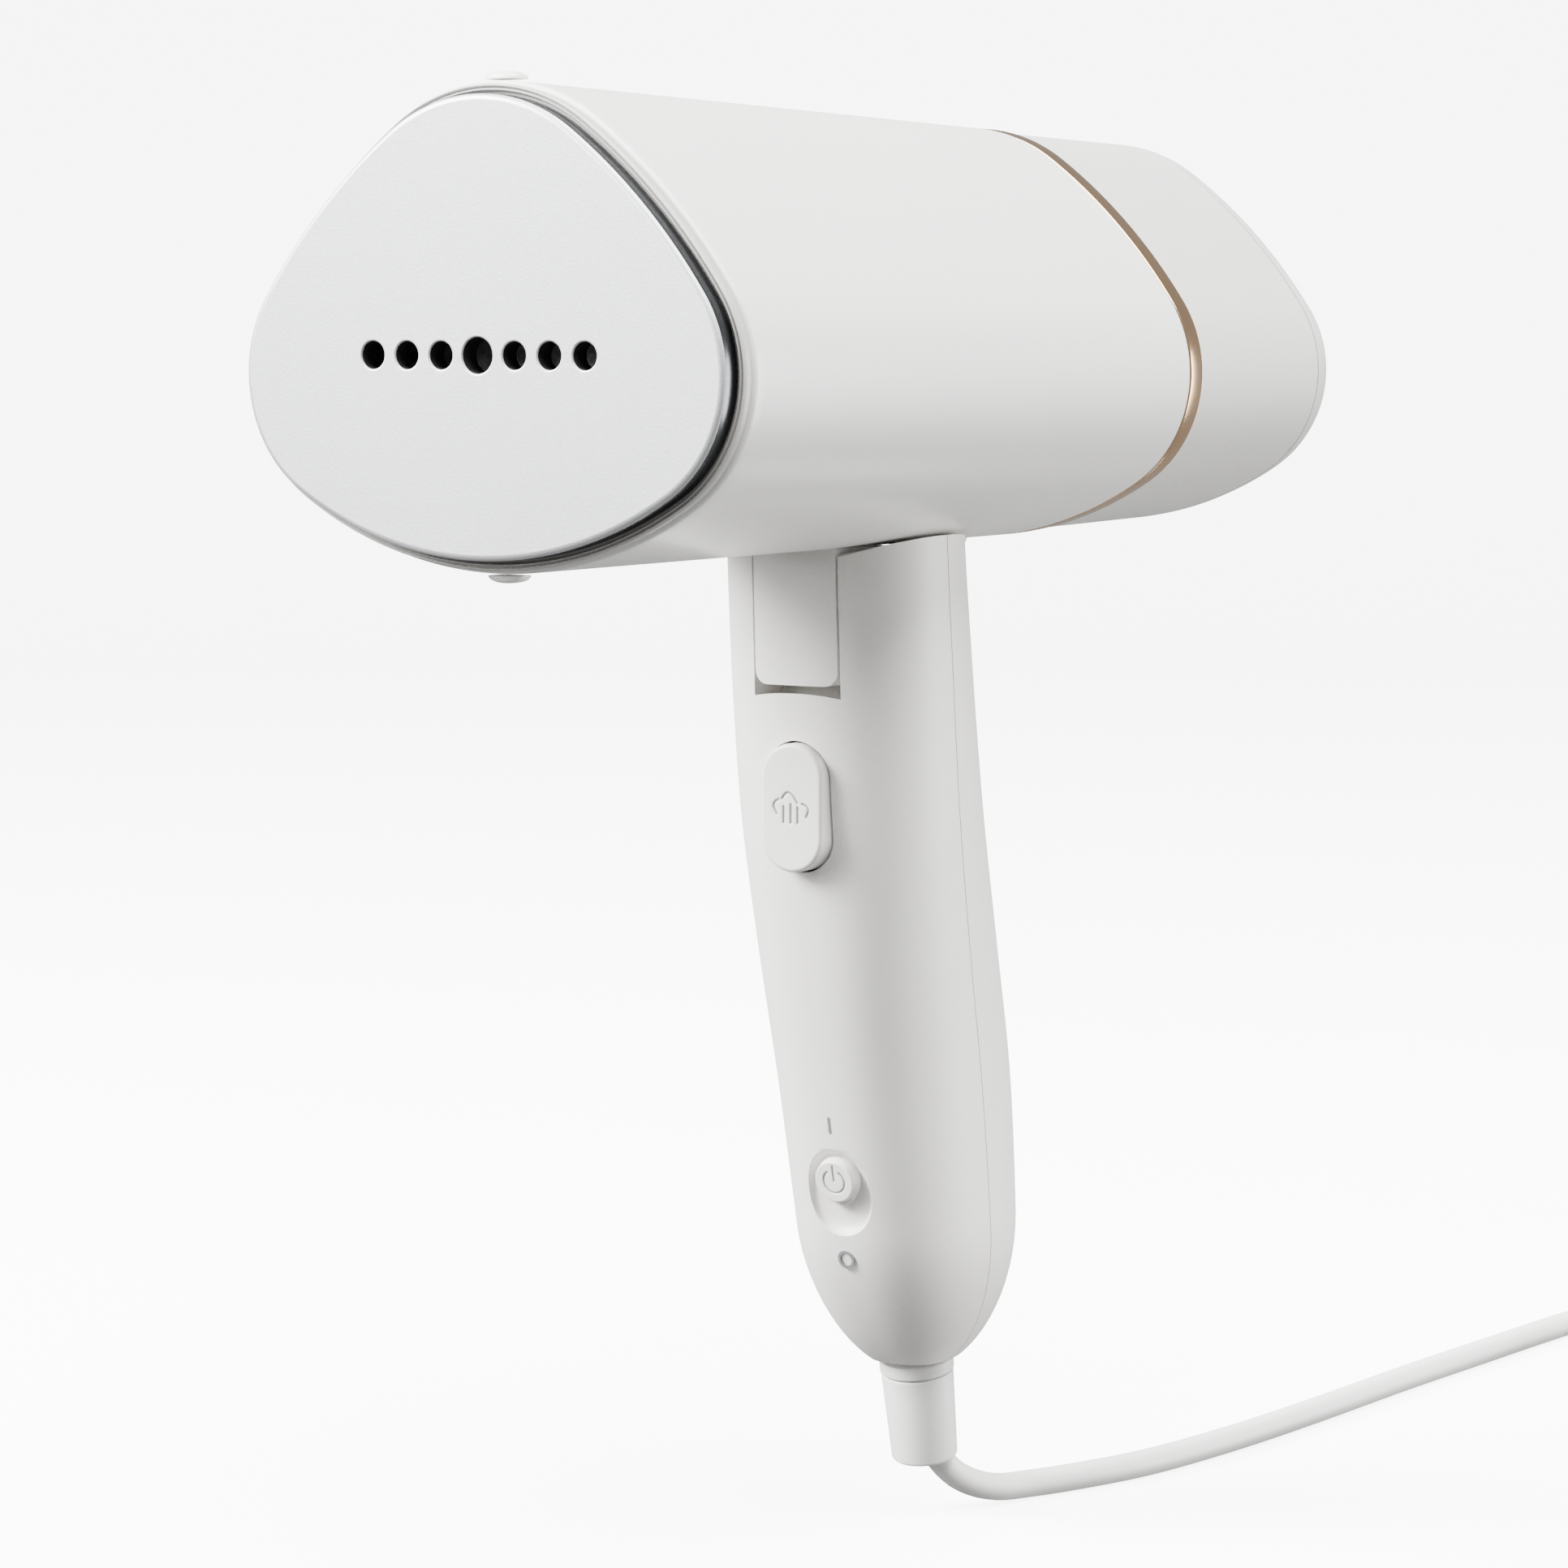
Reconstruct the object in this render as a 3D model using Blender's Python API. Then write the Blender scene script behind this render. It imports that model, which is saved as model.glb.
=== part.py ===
# Foldable handheld garment steamer.
# The origin is the centre of the grip. X runs across the head, -Y is the way the steam plate faces,
# and Z is up. All sizes are in metres.
import math

import bmesh
import bpy
import numpy as np
from mathutils import Matrix, Vector

# ---- clearances -------------------------------------------------------------------------------
GAP = 0.0003            # between pieces that touch
RUN = 0.0004            # between pieces that slide or turn

# ---- steam plate and the outline that the whole head follows ------------------------------------
PLATE_WIDTH = 0.0919
PLATE_HEIGHT = 0.0726
ARC_TURNS = (0.0, 35.9, 55.9, 147.5, 180.0)     # where the outline's arcs meet, degrees from the top
ARC_RADII = (0.0292, 0.1037, 0.0219)            # top, upper side, side; the bottom arc closes it
ARC_STEPS = (5, 4, 9, 5)
PLATE_FACE_Y = -0.126
PLATE_THICK = 0.004
PLATE_EDGE = 0.0010                             # the side wall stands out past the face by this
HEAD_Z = 0.110                                  # the row of steam holes, above the grip's centre
PLATE_TOP = 0.0406                              # top of the plate's face above that row
HOLE_COUNT = 7
CENTRE_HOLE_RADIUS = 0.00295
HOLE_RADIUS = 0.00228
CENTRE_HOLE_PITCH = 0.0072
HOLE_PITCH = 0.0068

# ---- head ---------------------------------------------------------------------------------------
BEZEL_LIP = 0.0024                              # the plate's face stands this far ahead, less the edge
BEZEL_THICK = 0.0020
HOUSING_WALL = 0.0022
HOUSING_FRONT_OFFSET = 0.0033                   # outline of the housing outside the plate's outline
HOUSING_REAR_OFFSET = 0.0021
HOUSING_DROP = 0.0011                           # the housing's rear end sits lower by this
HOUSING_LENGTH = 0.1515
RING_WIDTH = 0.0050
TANK_LENGTH = 0.0670
TANK_WALL = 0.0022
TANK_OFFSET = 0.0016
TANK_END_OFFSET = 0.0009
TANK_END_RADIUS = 0.0152
LUG_WIDTH = 0.0070
LUG_HEIGHT = 0.0016
GENERATOR_DEPTH = 0.0190
GENERATOR_INSET = 0.0050
HEATER_RADIUS = 0.0033
PUMP_Z = 0.098
PUMP_RADIUS = 0.0100
PUMP_LENGTH = 0.035
HOSE_RADIUS = 0.0030
HOSE_LEAVE = 0.14368                            # share of pump to shield that the hose runs straight
HOSE_ARRIVE = 0.17241                           # share of it left where the hose levels out
STEM_RADIUS = 0.0047
FLAP_Y = 0.056
FLAP_WIDTH = 0.0150
FLAP_LENGTH = 0.0240
FLAP_PIN_RADIUS = 0.0006
FLAP_PIN_UP = 0.0015                            # the flap's pin above the tank's lowest line
LATCH_Y = 0.0190
LATCH_WIDTH = 0.0120
LATCH_DEPTH = 0.0070

# ---- handle ---------------------------------------------------------------------------------------
# height, middle of the section along Y, half width across X, half depth along Y
HANDLE_STATIONS = (
    (0.0800, -0.0120, 0.0213, 0.0188),
    (0.0500, -0.0092, 0.0212, 0.0205),
    (0.0250, -0.0055, 0.0206, 0.0226),
    (0.0000, 0.0002, 0.0196, 0.0243),
    (-0.0250, 0.0063, 0.0187, 0.0250),
    (-0.0500, 0.0105, 0.0182, 0.0235),
    (-0.0800, 0.0140, 0.0178, 0.0205),
)
HANDLE_TOP = 0.0800
HANDLE_FOOT = -0.0800
FOOT_ROUND = 0.0275                             # height over which the foot rounds in
HANDLE_POWER = 2.4                              # squareness of the section
HANDLE_WALL = 0.0022
SECTION_STEPS = 36
EXIT_Y = 0.0144                                 # where the flex's axis leaves the foot
EXIT_TILT = 9.8                                 # degrees, backwards at the bottom
SCREW_HEIGHTS = (0.058, 0.006, -0.022)
SCREW_HEAD = 0.0030
SCREW_SHANK = 0.0014
POST_RADIUS = 0.0038

# ---- fold hinge ------------------------------------------------------------------------------------
HINGE_Y = -0.0241
HINGE_Z = 0.0565
PIN_RADIUS = 0.0015
PIN_HALF = 0.0130
TAB_HALF = 0.0086
TAB_BELOW = 0.0060                              # flat lower end of the tab below the pin
TAB_BEHIND = 0.0085                             # rear face of the tab behind the pin
TAB_CORNER = 0.0026
FLANGE_Z = 0.0793
FLANGE_THICK = 0.0030

# ---- controls --------------------------------------------------------------------------------------
TRIGGER_Z = 0.0285
TRIGGER_WIDTH = 0.0128
TRIGGER_HEIGHT = 0.0233
TRIGGER_PROUD = 0.0024
TRIGGER_TRAVEL = 0.0020
SLIDER_Z = -0.0442
RECESS_WIDTH = 0.0133
RECESS_HEIGHT = 0.0168
RECESS_DEPTH = 0.0019
KNOB_RADIUS = 0.0046
KNOB_PROUD = 0.0008
KNOB_TRAVEL = 0.0050
STALK_WIDTH = 0.0030

# ---- flex, strain relief and plug -------------------------------------------------------------------
FLEX_RADIUS = 0.00265
SLEEVE_LENGTH = 0.0205
SLEEVE_TOP_RADIUS = 0.0069
SLEEVE_MOUTH_RADIUS = 0.0063
COLLAR_LENGTH = 0.0028
COLLAR_RADIUS = 0.0071
GRIPPED = 0.0100                                # the free flex starts this deep inside the mouth
FLEX_Z = -0.1090                                # axis of the flex where it lies flat
COIL_CENTRE = (0.0895, 0.2450)
COIL_INNER = 0.0190
COIL_OUTER = 0.0444
COIL_HEIGHT = 0.0110
COIL_OUT_RADIUS = 0.0415                        # where the tail leaves the upper turns
COIL_LEAVE = -14.0                              # degrees from +X, where the tail leaves
PLUG_RADIUS = 0.0178
PLUG_LENGTH = 0.040
PLUG_PIN_RADIUS = 0.0024
PLUG_PIN_LENGTH = 0.019
PLUG_PIN_PITCH = 0.019

COLLECTION = "garment_steamer"


# ---- scene and materials ------------------------------------------------------------------------------
def start_scene():
    for item in list(bpy.data.objects):
        bpy.data.objects.remove(item, do_unlink=True)
    made = []
    for name in (COLLECTION, COLLECTION + "_cutters"):
        group = bpy.data.collections.new(name)
        bpy.context.scene.collection.children.link(group)
        made.append(group)
    return made


PARTS, CUTTERS = start_scene()


def material(name, colour, roughness, metallic=0.0):
    made = bpy.data.materials.new(name)
    made.use_nodes = True
    shader = made.node_tree.nodes["Principled BSDF"]
    shader.inputs["Base Color"].default_value = (*colour, 1.0)
    shader.inputs["Roughness"].default_value = roughness
    shader.inputs["Metallic"].default_value = metallic
    return made


PEARL = material("pearl_housing", (0.86, 0.86, 0.84), 0.25)
WARM = material("warm_handle", (0.84, 0.83, 0.80), 0.38)
PLATE = material("blasted_plate", (0.52, 0.53, 0.54), 0.55, 1.0)
BEZEL = material("grey_bezel", (0.62, 0.62, 0.61), 0.42)
GOLD = material("champagne_ring", (0.83, 0.66, 0.55), 0.22, 1.0)
FROST = material("frosted_tank", (0.74, 0.74, 0.73), 0.30)
RUBBER = material("dark_rubber", (0.05, 0.05, 0.05), 0.70)
SLEEVE = material("pale_rubber", (0.80, 0.79, 0.76), 0.50)
STEEL = material("steel", (0.60, 0.60, 0.60), 0.30, 1.0)
CAST = material("cast_aluminium", (0.50, 0.50, 0.50), 0.50, 1.0)
BOARD = material("circuit_board", (0.05, 0.25, 0.12), 0.50)
BLACK = material("black_plastic", (0.04, 0.04, 0.04), 0.45)
COPPER = material("copper_winding", (0.72, 0.40, 0.25), 0.35, 1.0)
HOSE = material("silicone_hose", (0.75, 0.75, 0.72), 0.50)


# ---- making solids ------------------------------------------------------------------------------------
def place(mesh, name, look, origin=(0, 0, 0), cutter=False):
    """Object of a mesh given in world coordinates, with its origin at a chosen point."""
    mesh.transform(Matrix.Translation(-Vector(origin)))
    made = bpy.data.objects.new(name, mesh)
    made.location = origin
    if cutter:
        made.hide_render = True
        made.display_type = "WIRE"
        CUTTERS.objects.link(made)
    else:
        mesh.materials.append(look)
        mesh.shade_smooth()
        mesh.set_sharp_from_angle(angle=math.radians(35))
        PARTS.objects.link(made)
    return made


def finish(work, name, look, origin, cutter):
    bmesh.ops.recalc_face_normals(work, faces=work.faces)
    mesh = bpy.data.meshes.new(name)
    work.to_mesh(mesh)
    work.free()
    return place(mesh, name, look, origin, cutter)


def skin(name, rings, look=None, ringed=False, origin=(0, 0, 0), cutter=False):
    """Closed surface through rings of equal count; ringed joins the last ring to the first."""
    work = bmesh.new()
    rows = [[work.verts.new(point) for point in ring] for ring in rings]
    count = len(rows[0])
    pairs = list(zip(rows, rows[1:]))
    if ringed:
        pairs.append((rows[-1], rows[0]))
    for one, two in pairs:
        for i in range(count):
            j = (i + 1) % count
            work.faces.new((one[i], one[j], two[j], two[i]))
    if not ringed:
        work.faces.new(rows[0])
        work.faces.new(rows[-1])
    return finish(work, name, look, origin, cutter)


def extruded(name, outline, start, end, axis, look=None, origin=(0, 0, 0), cutter=False):
    """Flat outline carried along X, Y or Z; it holds the other two coordinates in order."""
    rings = []
    for along in (start, end):
        ring = []
        for pair in outline:
            point = list(pair)
            point.insert("XYZ".index(axis), along)
            ring.append(point)
        rings.append(ring)
    return skin(name, rings, look, origin=origin, cutter=cutter)


def box(name, low, high, look=None, round_by=0.0, origin=(0, 0, 0), cutter=False):
    work = bmesh.new()
    bmesh.ops.create_cube(work, size=1.0)
    size = [b - a for a, b in zip(low, high)]
    middle = [(a + b) / 2 for a, b in zip(low, high)]
    bmesh.ops.scale(work, vec=size, verts=work.verts)
    bmesh.ops.translate(work, vec=middle, verts=work.verts)
    if round_by:
        bmesh.ops.bevel(work, geom=work.edges, offset=round_by, segments=2, profile=0.5, affect="EDGES")
    return finish(work, name, look, origin, cutter)


def frame_along(axis):
    """Matrix that turns local Z onto an axis."""
    return Vector(axis).normalized().to_track_quat("Z", "Y").to_matrix().to_4x4()


def turned(name, profile, base, axis, look=None, steps=32, cutter=False):
    """Profile of (radius, height) pairs turned about an axis through base.

    A profile that begins and ends on the axis makes a solid, any other a ring.
    """
    closed = profile[0][0] == 0
    radii = profile[1:-1] if closed else profile
    turns = [2 * math.pi * i / steps for i in range(steps)]
    matrix = Matrix.Translation(base) @ frame_along(axis)
    rings = []
    for radius, height in radii:
        rings.append([matrix @ Vector((radius * math.cos(t), radius * math.sin(t), height)) for t in turns])
    return skin(name, rings, look, ringed=not closed, cutter=cutter)


def rod(name, radius, base, axis, length, look=None, steps=24, cutter=False):
    profile = [(0, 0), (radius, 0), (radius, length), (0, length)]
    return turned(name, profile, base, axis, look, steps, cutter)


def tube(name, points, radius, look, resolution=3):
    """Round wire, hose or flex along a list of points."""
    curve = bpy.data.curves.new(name, "CURVE")
    curve.dimensions = "3D"
    curve.bevel_depth = radius
    curve.bevel_resolution = resolution
    curve.use_fill_caps = True
    spline = curve.splines.new("POLY")
    spline.points.add(len(points) - 1)
    for point, place_at in zip(spline.points, points):
        point.co = (*place_at, 1.0)
    curve.materials.append(look)
    made = bpy.data.objects.new(name, curve)
    PARTS.objects.link(made)
    return made


def boolean(target, tool, operation, solver="EXACT"):
    change = target.modifiers.new(operation.lower() + "_" + tool.name, "BOOLEAN")
    change.operation = operation
    change.object = tool
    change.solver = solver


def cut(target, *tools):
    for tool in tools:
        boolean(target, tool, "DIFFERENCE")


def pill(width, height, steps=8, grow=0.0):
    """Upright outline with round ends, about the origin."""
    radius = width / 2 + grow
    rise = (height - width) / 2
    points = []
    for side, base in ((1, 0.0), (-1, math.pi)):
        for i in range(steps + 1):
            turn = base + math.pi * i / steps
            points.append((radius * math.cos(turn), side * rise + radius * math.sin(turn)))
    return points


def smooth_route(points, spacing):
    """Even steps along a Catmull-Rom curve through a few chosen points."""
    knots = [Vector(p) for p in points]
    knots = [2 * knots[0] - knots[1]] + knots + [2 * knots[-1] - knots[-2]]
    dense = []
    for a, b, c, d in zip(knots, knots[1:], knots[2:], knots[3:]):
        for i in range(24):
            t = i / 24
            dense.append(0.5 * (2 * b + (c - a) * t + (2 * a - 5 * b + 4 * c - d) * t * t
                                + (3 * b - a - 3 * c + d) * t ** 3))
    dense.append(knots[-2])
    lengths = [0.0]
    for a, b in zip(dense, dense[1:]):
        lengths.append(lengths[-1] + (b - a).length)
    count = max(2, round(lengths[-1] / spacing))
    made = []
    for i in range(count + 1):
        along = lengths[-1] * i / count
        k = min(max(np.searchsorted(lengths, along), 1), len(dense) - 1)
        share = (along - lengths[k - 1]) / (lengths[k] - lengths[k - 1])
        made.append(tuple(dense[k - 1].lerp(dense[k], share)))
    return made


# ---- the head's outline ----------------------------------------------------------------------------------
def head_outline():
    """Points and outward directions of the plate's outline, from its top round and back.

    Four arcs a side, each tangent to the next, stretched to the plate's width and height.
    """
    turns = [math.radians(a) for a in ARC_TURNS]
    sines = [math.sin(a) for a in turns]
    reach = sum(r * (b - a) for r, a, b in zip(ARC_RADII, sines, sines[1:]))
    radii = [*ARC_RADII, reach / sines[3]]
    x, z = 0.0, 0.0
    points = [(0.0, 0.0, 0.0)]
    for radius, a, b, steps in zip(radii, turns, turns[1:], ARC_STEPS):
        for i in range(1, steps + 1):
            t = a + (b - a) * i / steps
            points.append((x + radius * (math.sin(t) - math.sin(a)),
                           z - radius * (math.cos(a) - math.cos(t)), t))
        x, z = points[-1][:2]
    wide = PLATE_WIDTH / 2 / max(p[0] for p in points)
    tall = PLATE_HEIGHT / -z
    half = []
    for x, z, t in points:
        normal = Vector((math.sin(t) / wide, math.cos(t) / tall)).normalized()
        half.append((x * wide, z * tall, normal.x, normal.y))
    other = [(-x, z, -nx, nz) for x, z, nx, nz in half[-2:0:-1]]
    return half + other


OUTLINE = head_outline()


def head_ring(y, offset, drop=0.0):
    """The outline carried outwards by an offset, in the upright plane at y."""
    top = HEAD_Z + PLATE_TOP - drop
    return [(x + nx * offset, y, top + z + nz * offset) for x, z, nx, nz in OUTLINE]


HOUSING_Y = PLATE_FACE_Y + PLATE_EDGE + BEZEL_LIP + BEZEL_THICK
HOUSING_END_Y = HOUSING_Y + HOUSING_LENGTH
RING_END_Y = HOUSING_END_Y + GAP + RING_WIDTH
TANK_Y = RING_END_Y + GAP
TANK_END_Y = TANK_Y + TANK_LENGTH
CAP_Y = TANK_END_Y - TANK_END_RADIUS


def housing_at(y):
    """Offset and drop of the housing's outside at y."""
    share = (y - HOUSING_Y) / HOUSING_LENGTH
    offset = HOUSING_FRONT_OFFSET + (HOUSING_REAR_OFFSET - HOUSING_FRONT_OFFSET) * share
    return offset, HOUSING_DROP * share


def housing_ring(y, grow=0.0):
    offset, drop = housing_at(y)
    return head_ring(y, offset + grow, drop)


def underside_z(y):
    """Lowest line of the housing at y."""
    return min(p[2] for p in housing_ring(y))


# ---- head: plate, bezel, housing ---------------------------------------------------------------------
def hole_places():
    side = HOLE_COUNT // 2
    for i in range(-side, side + 1):
        away = 0.0 if i == 0 else CENTRE_HOLE_PITCH + (abs(i) - 1) * HOLE_PITCH
        yield math.copysign(away, i), CENTRE_HOLE_RADIUS if i == 0 else HOLE_RADIUS


def make_plate():
    y = PLATE_FACE_Y
    rings = [
        head_ring(y, 0.0),
        head_ring(y + 0.3 * PLATE_EDGE, 0.7 * PLATE_EDGE),
        head_ring(y + PLATE_EDGE, PLATE_EDGE),
        head_ring(y + PLATE_THICK, PLATE_EDGE),
    ]
    plate = skin("steam_plate", rings, PLATE)
    for i, (x, radius) in enumerate(hole_places()):
        drill = rod(f"steam_hole_{i}", radius, (x, y - 0.002, HEAD_Z), (0, 1, 0), PLATE_THICK + 0.004,
                    steps=16, cutter=True)
        cut(plate, drill)


def make_bezel():
    front = PLATE_FACE_Y + PLATE_EDGE + BEZEL_LIP
    back = front + BEZEL_THICK
    inner = PLATE_EDGE + RUN
    outer = HOUSING_FRONT_OFFSET - 0.0006
    groove = 0.0006
    skirt = HOUSING_FRONT_OFFSET - HOUSING_WALL - GAP
    shelf = PLATE_FACE_Y + PLATE_THICK + GAP
    step = (outer - inner) / 5
    rings = [
        head_ring(front, inner),
        head_ring(front, inner + 2 * step),
        head_ring(front + groove, inner + 2.5 * step),
        head_ring(front, inner + 3 * step),
        head_ring(front, outer),
        head_ring(back - GAP, outer),
        head_ring(back - GAP, skirt),
        head_ring(back + 0.008, skirt - 0.0002),
        head_ring(back + 0.008, skirt - 0.0012),
        head_ring(shelf, skirt - 0.0012),
        head_ring(shelf, inner),
    ]
    skin("front_bezel", rings, BEZEL, ringed=True)
    seal_y = PLATE_FACE_Y + PLATE_THICK + GAP
    seal = [head_ring(seal_y, -0.0040), head_ring(seal_y, -0.0010), head_ring(seal_y + 0.0016, -0.0010),
            head_ring(seal_y + 0.0016, -0.0040)]
    skin("plate_seal", seal, RUBBER, ringed=True)
    ends = {"brush_lug_top": max, "brush_lug_bottom": min}
    for name, pick in ends.items():
        edge = pick(p[2] for p in housing_ring(HOUSING_Y + 0.003))
        out = 1 if pick is max else -1
        low, high = sorted((edge + out * GAP, edge + out * LUG_HEIGHT))
        box(name, (-LUG_WIDTH / 2, HOUSING_Y + 0.0008, low), (LUG_WIDTH / 2, HOUSING_Y + 0.0058, high),
            BEZEL, 0.0006)


def make_housing():
    start, end, wall = HOUSING_Y, HOUSING_END_Y, HOUSING_WALL
    spans = (start + 0.004, (start + end) / 2, end)
    rings = [housing_ring(start, -wall), housing_ring(start, -0.0009), housing_ring(start + 0.0003, -0.0003),
             housing_ring(start + 0.0011)]
    rings += [housing_ring(y) for y in spans]
    rings += [housing_ring(y, -wall) for y in reversed(spans)]
    housing = skin("head_housing", rings, PEARL, ringed=True)
    slot = box("neck_opening", (-TAB_HALF - RUN, front_y(HANDLE_TOP) - RUN, underside_z(HINGE_Y) - 0.004),
               (TAB_HALF + RUN, HINGE_Y + TAB_BEHIND + RUN, FLANGE_Z), cutter=True)
    floor = underside_z(LATCH_Y)
    hole = box("latch_opening", (-LATCH_WIDTH / 2 - RUN, LATCH_Y - LATCH_DEPTH / 2 - RUN, floor - 0.004),
               (LATCH_WIDTH / 2 + RUN, LATCH_Y + LATCH_DEPTH / 2 + RUN, floor + 0.006), cutter=True)
    cut(housing, slot, hole)


def make_latch():
    floor = underside_z(LATCH_Y)
    low = (-LATCH_WIDTH / 2, LATCH_Y - LATCH_DEPTH / 2, floor - 0.0006)
    high = (LATCH_WIDTH / 2, LATCH_Y + LATCH_DEPTH / 2, floor + 0.0045)
    latch = box("tank_latch", low, high, WARM, 0.0005, origin=(0, LATCH_Y, floor))
    rim = box("latch_rim", (low[0] - 0.0015, low[1] - 0.0015, floor + HOUSING_WALL + 0.0010),
              (high[0] + 0.0015, high[1] + 0.0015, floor + HOUSING_WALL + 0.0025), cutter=True)
    boolean(latch, rim, "UNION")


# ---- head: what the housing holds --------------------------------------------------------------------
def make_steam_side():
    front = PLATE_FACE_Y + PLATE_THICK + GAP
    back = front + GENERATOR_DEPTH
    inset = -GENERATOR_INSET
    generator = skin("steam_generator", [head_ring(front, inset), head_ring(back, inset)], CAST)
    hollow = inset - 0.006
    chamber = skin("steam_chamber", [head_ring(front - 0.002, hollow), head_ring(back - 0.007, hollow)],
                   cutter=True)
    cut(generator, chamber)
    y = back + GAP + HEATER_RADIUS
    bend = 0.008
    half, low, high = 0.020, HEAD_Z - 0.022, HEAD_Z + 0.020
    path = [(-half, y, high)]
    for centre, start in (((-half + bend, low + bend), 180), ((half - bend, low + bend), 270)):
        for i in range(7):
            turn = math.radians(start + 15 * i)
            path.append((centre[0] + bend * math.cos(turn), y, centre[1] + bend * math.sin(turn)))
    path.append((half, y, high))
    tube("heating_element", path, HEATER_RADIUS, STEEL, 2)
    rod("thermostat", 0.008, (0, back + GAP, HEAD_Z + 0.013), (0, 1, 0), 0.0095, STEEL)
    rod("thermal_fuse", 0.0025, (-0.007, back + GAP + 0.0025, HEAD_Z - 0.012), (1, 0, 0), 0.014, COPPER, 12)
    shield_y = back + 0.0125
    shield = skin("heat_shield", [head_ring(shield_y, -0.003), head_ring(shield_y + 0.001, -0.003)], STEEL)
    hole = rod("shield_hole", HOSE_RADIUS + 0.001, (0, shield_y - 0.002, HEAD_Z - 0.002), (0, 1, 0), 0.005,
               steps=16, cutter=True)
    cut(shield, hole)
    return back, shield_y


def make_water_side(generator_back, shield_y):
    pump_end = HOUSING_END_Y - 0.0165
    pump_y = pump_end - PUMP_LENGTH
    rod("water_pump", PUMP_RADIUS, (0, pump_y, PUMP_Z), (0, 1, 0), PUMP_LENGTH, BLACK)
    bore, outer = PUMP_RADIUS + GAP, 0.0150
    turned("pump_coil", [(bore, 0.008), (outer, 0.008), (outer, 0.028), (bore, 0.028)], (0, pump_y, PUMP_Z),
           (0, 1, 0), COPPER)
    wall_y = HOUSING_END_Y - 0.0046
    offset, drop = housing_at(wall_y)
    inside = offset - HOUSING_WALL - GAP
    sides = [head_ring(wall_y, inside, drop), head_ring(wall_y + 0.003, inside, drop)]
    bulkhead = skin("tank_bulkhead", sides, PEARL)
    socket = rod("bulkhead_socket", STEM_RADIUS + RUN, (0, wall_y - 0.002, PUMP_Z), (0, 1, 0), 0.007,
                 cutter=True)
    cut(bulkhead, socket)
    reach = [(STEM_RADIUS + RUN + 0.0013 + 0.0012 * math.cos(t), 0.0012 * math.sin(t))
             for t in np.linspace(0, 2 * math.pi, 9)[:-1]]
    turned("dock_seal", reach, (0, wall_y - GAP - 0.0012, PUMP_Z), (0, 1, 0), RUBBER, 16)
    tube("inlet_hose", [(0, pump_end + GAP, PUMP_Z), (0, wall_y, PUMP_Z)], HOSE_RADIUS, HOSE, 2)
    hose_z = HEAD_Z - 0.002
    span = pump_y - shield_y
    through = [(0, pump_y - GAP, PUMP_Z), (0, pump_y - HOSE_LEAVE * span, PUMP_Z),
               (0, shield_y + HOSE_ARRIVE * span, hose_z),
               (0, shield_y, hose_z), (0, generator_back + GAP, hose_z)]
    route = smooth_route(through, 0.006)
    tube("outlet_hose", route, HOSE_RADIUS, HOSE, 2)
    board_z = HEAD_Z + 0.0240
    box("control_board", (-0.021, shield_y + 0.008, board_z), (0.021, pump_y + 0.002, board_z + 0.0016),
        BOARD)
    box("control_relay", (-0.009, shield_y + 0.014, board_z - GAP - 0.011),
        (0.009, shield_y + 0.036, board_z - GAP), BLACK, 0.0008)
    return wall_y


# ---- tank --------------------------------------------------------------------------------------------
def tank_at(y):
    share = (y - TANK_Y) / (CAP_Y - TANK_Y)
    return TANK_OFFSET + (TANK_END_OFFSET - TANK_OFFSET) * share


def tank_ring(y, grow=0.0):
    return head_ring(y, tank_at(y) + grow, HOUSING_DROP)


def make_ring():
    start, end = HOUSING_END_Y + GAP, RING_END_Y
    outer = HOUSING_REAR_OFFSET
    inner = outer - HOUSING_WALL
    soft = 0.0005
    rings = [head_ring(start, inner, HOUSING_DROP), head_ring(start, outer - soft, HOUSING_DROP),
             head_ring(start + soft, outer, HOUSING_DROP), head_ring(end - soft, outer, HOUSING_DROP),
             head_ring(end, outer - soft, HOUSING_DROP), head_ring(end, inner, HOUSING_DROP)]
    skin("trim_ring", rings, GOLD, ringed=True)


def tank_wall_rings(seat):
    """Cup open at the rear: its seat, its outside, then its inside back to the front wall."""
    inset = HOUSING_REAR_OFFSET - HOUSING_WALL - RUN
    wall = TANK_WALL
    return [
        head_ring(seat, inset, HOUSING_DROP),
        head_ring(TANK_Y, inset, HOUSING_DROP),
        tank_ring(TANK_Y + 0.0002),
        tank_ring((TANK_Y + CAP_Y) / 2),
        tank_ring(CAP_Y - GAP),
        tank_ring(CAP_Y - GAP, -wall),
        tank_ring(TANK_Y + wall, -wall - 0.0004),
        head_ring(TANK_Y + wall, inset - wall, HOUSING_DROP),
        head_ring(seat + wall, inset - wall, HOUSING_DROP),
    ]


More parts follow.
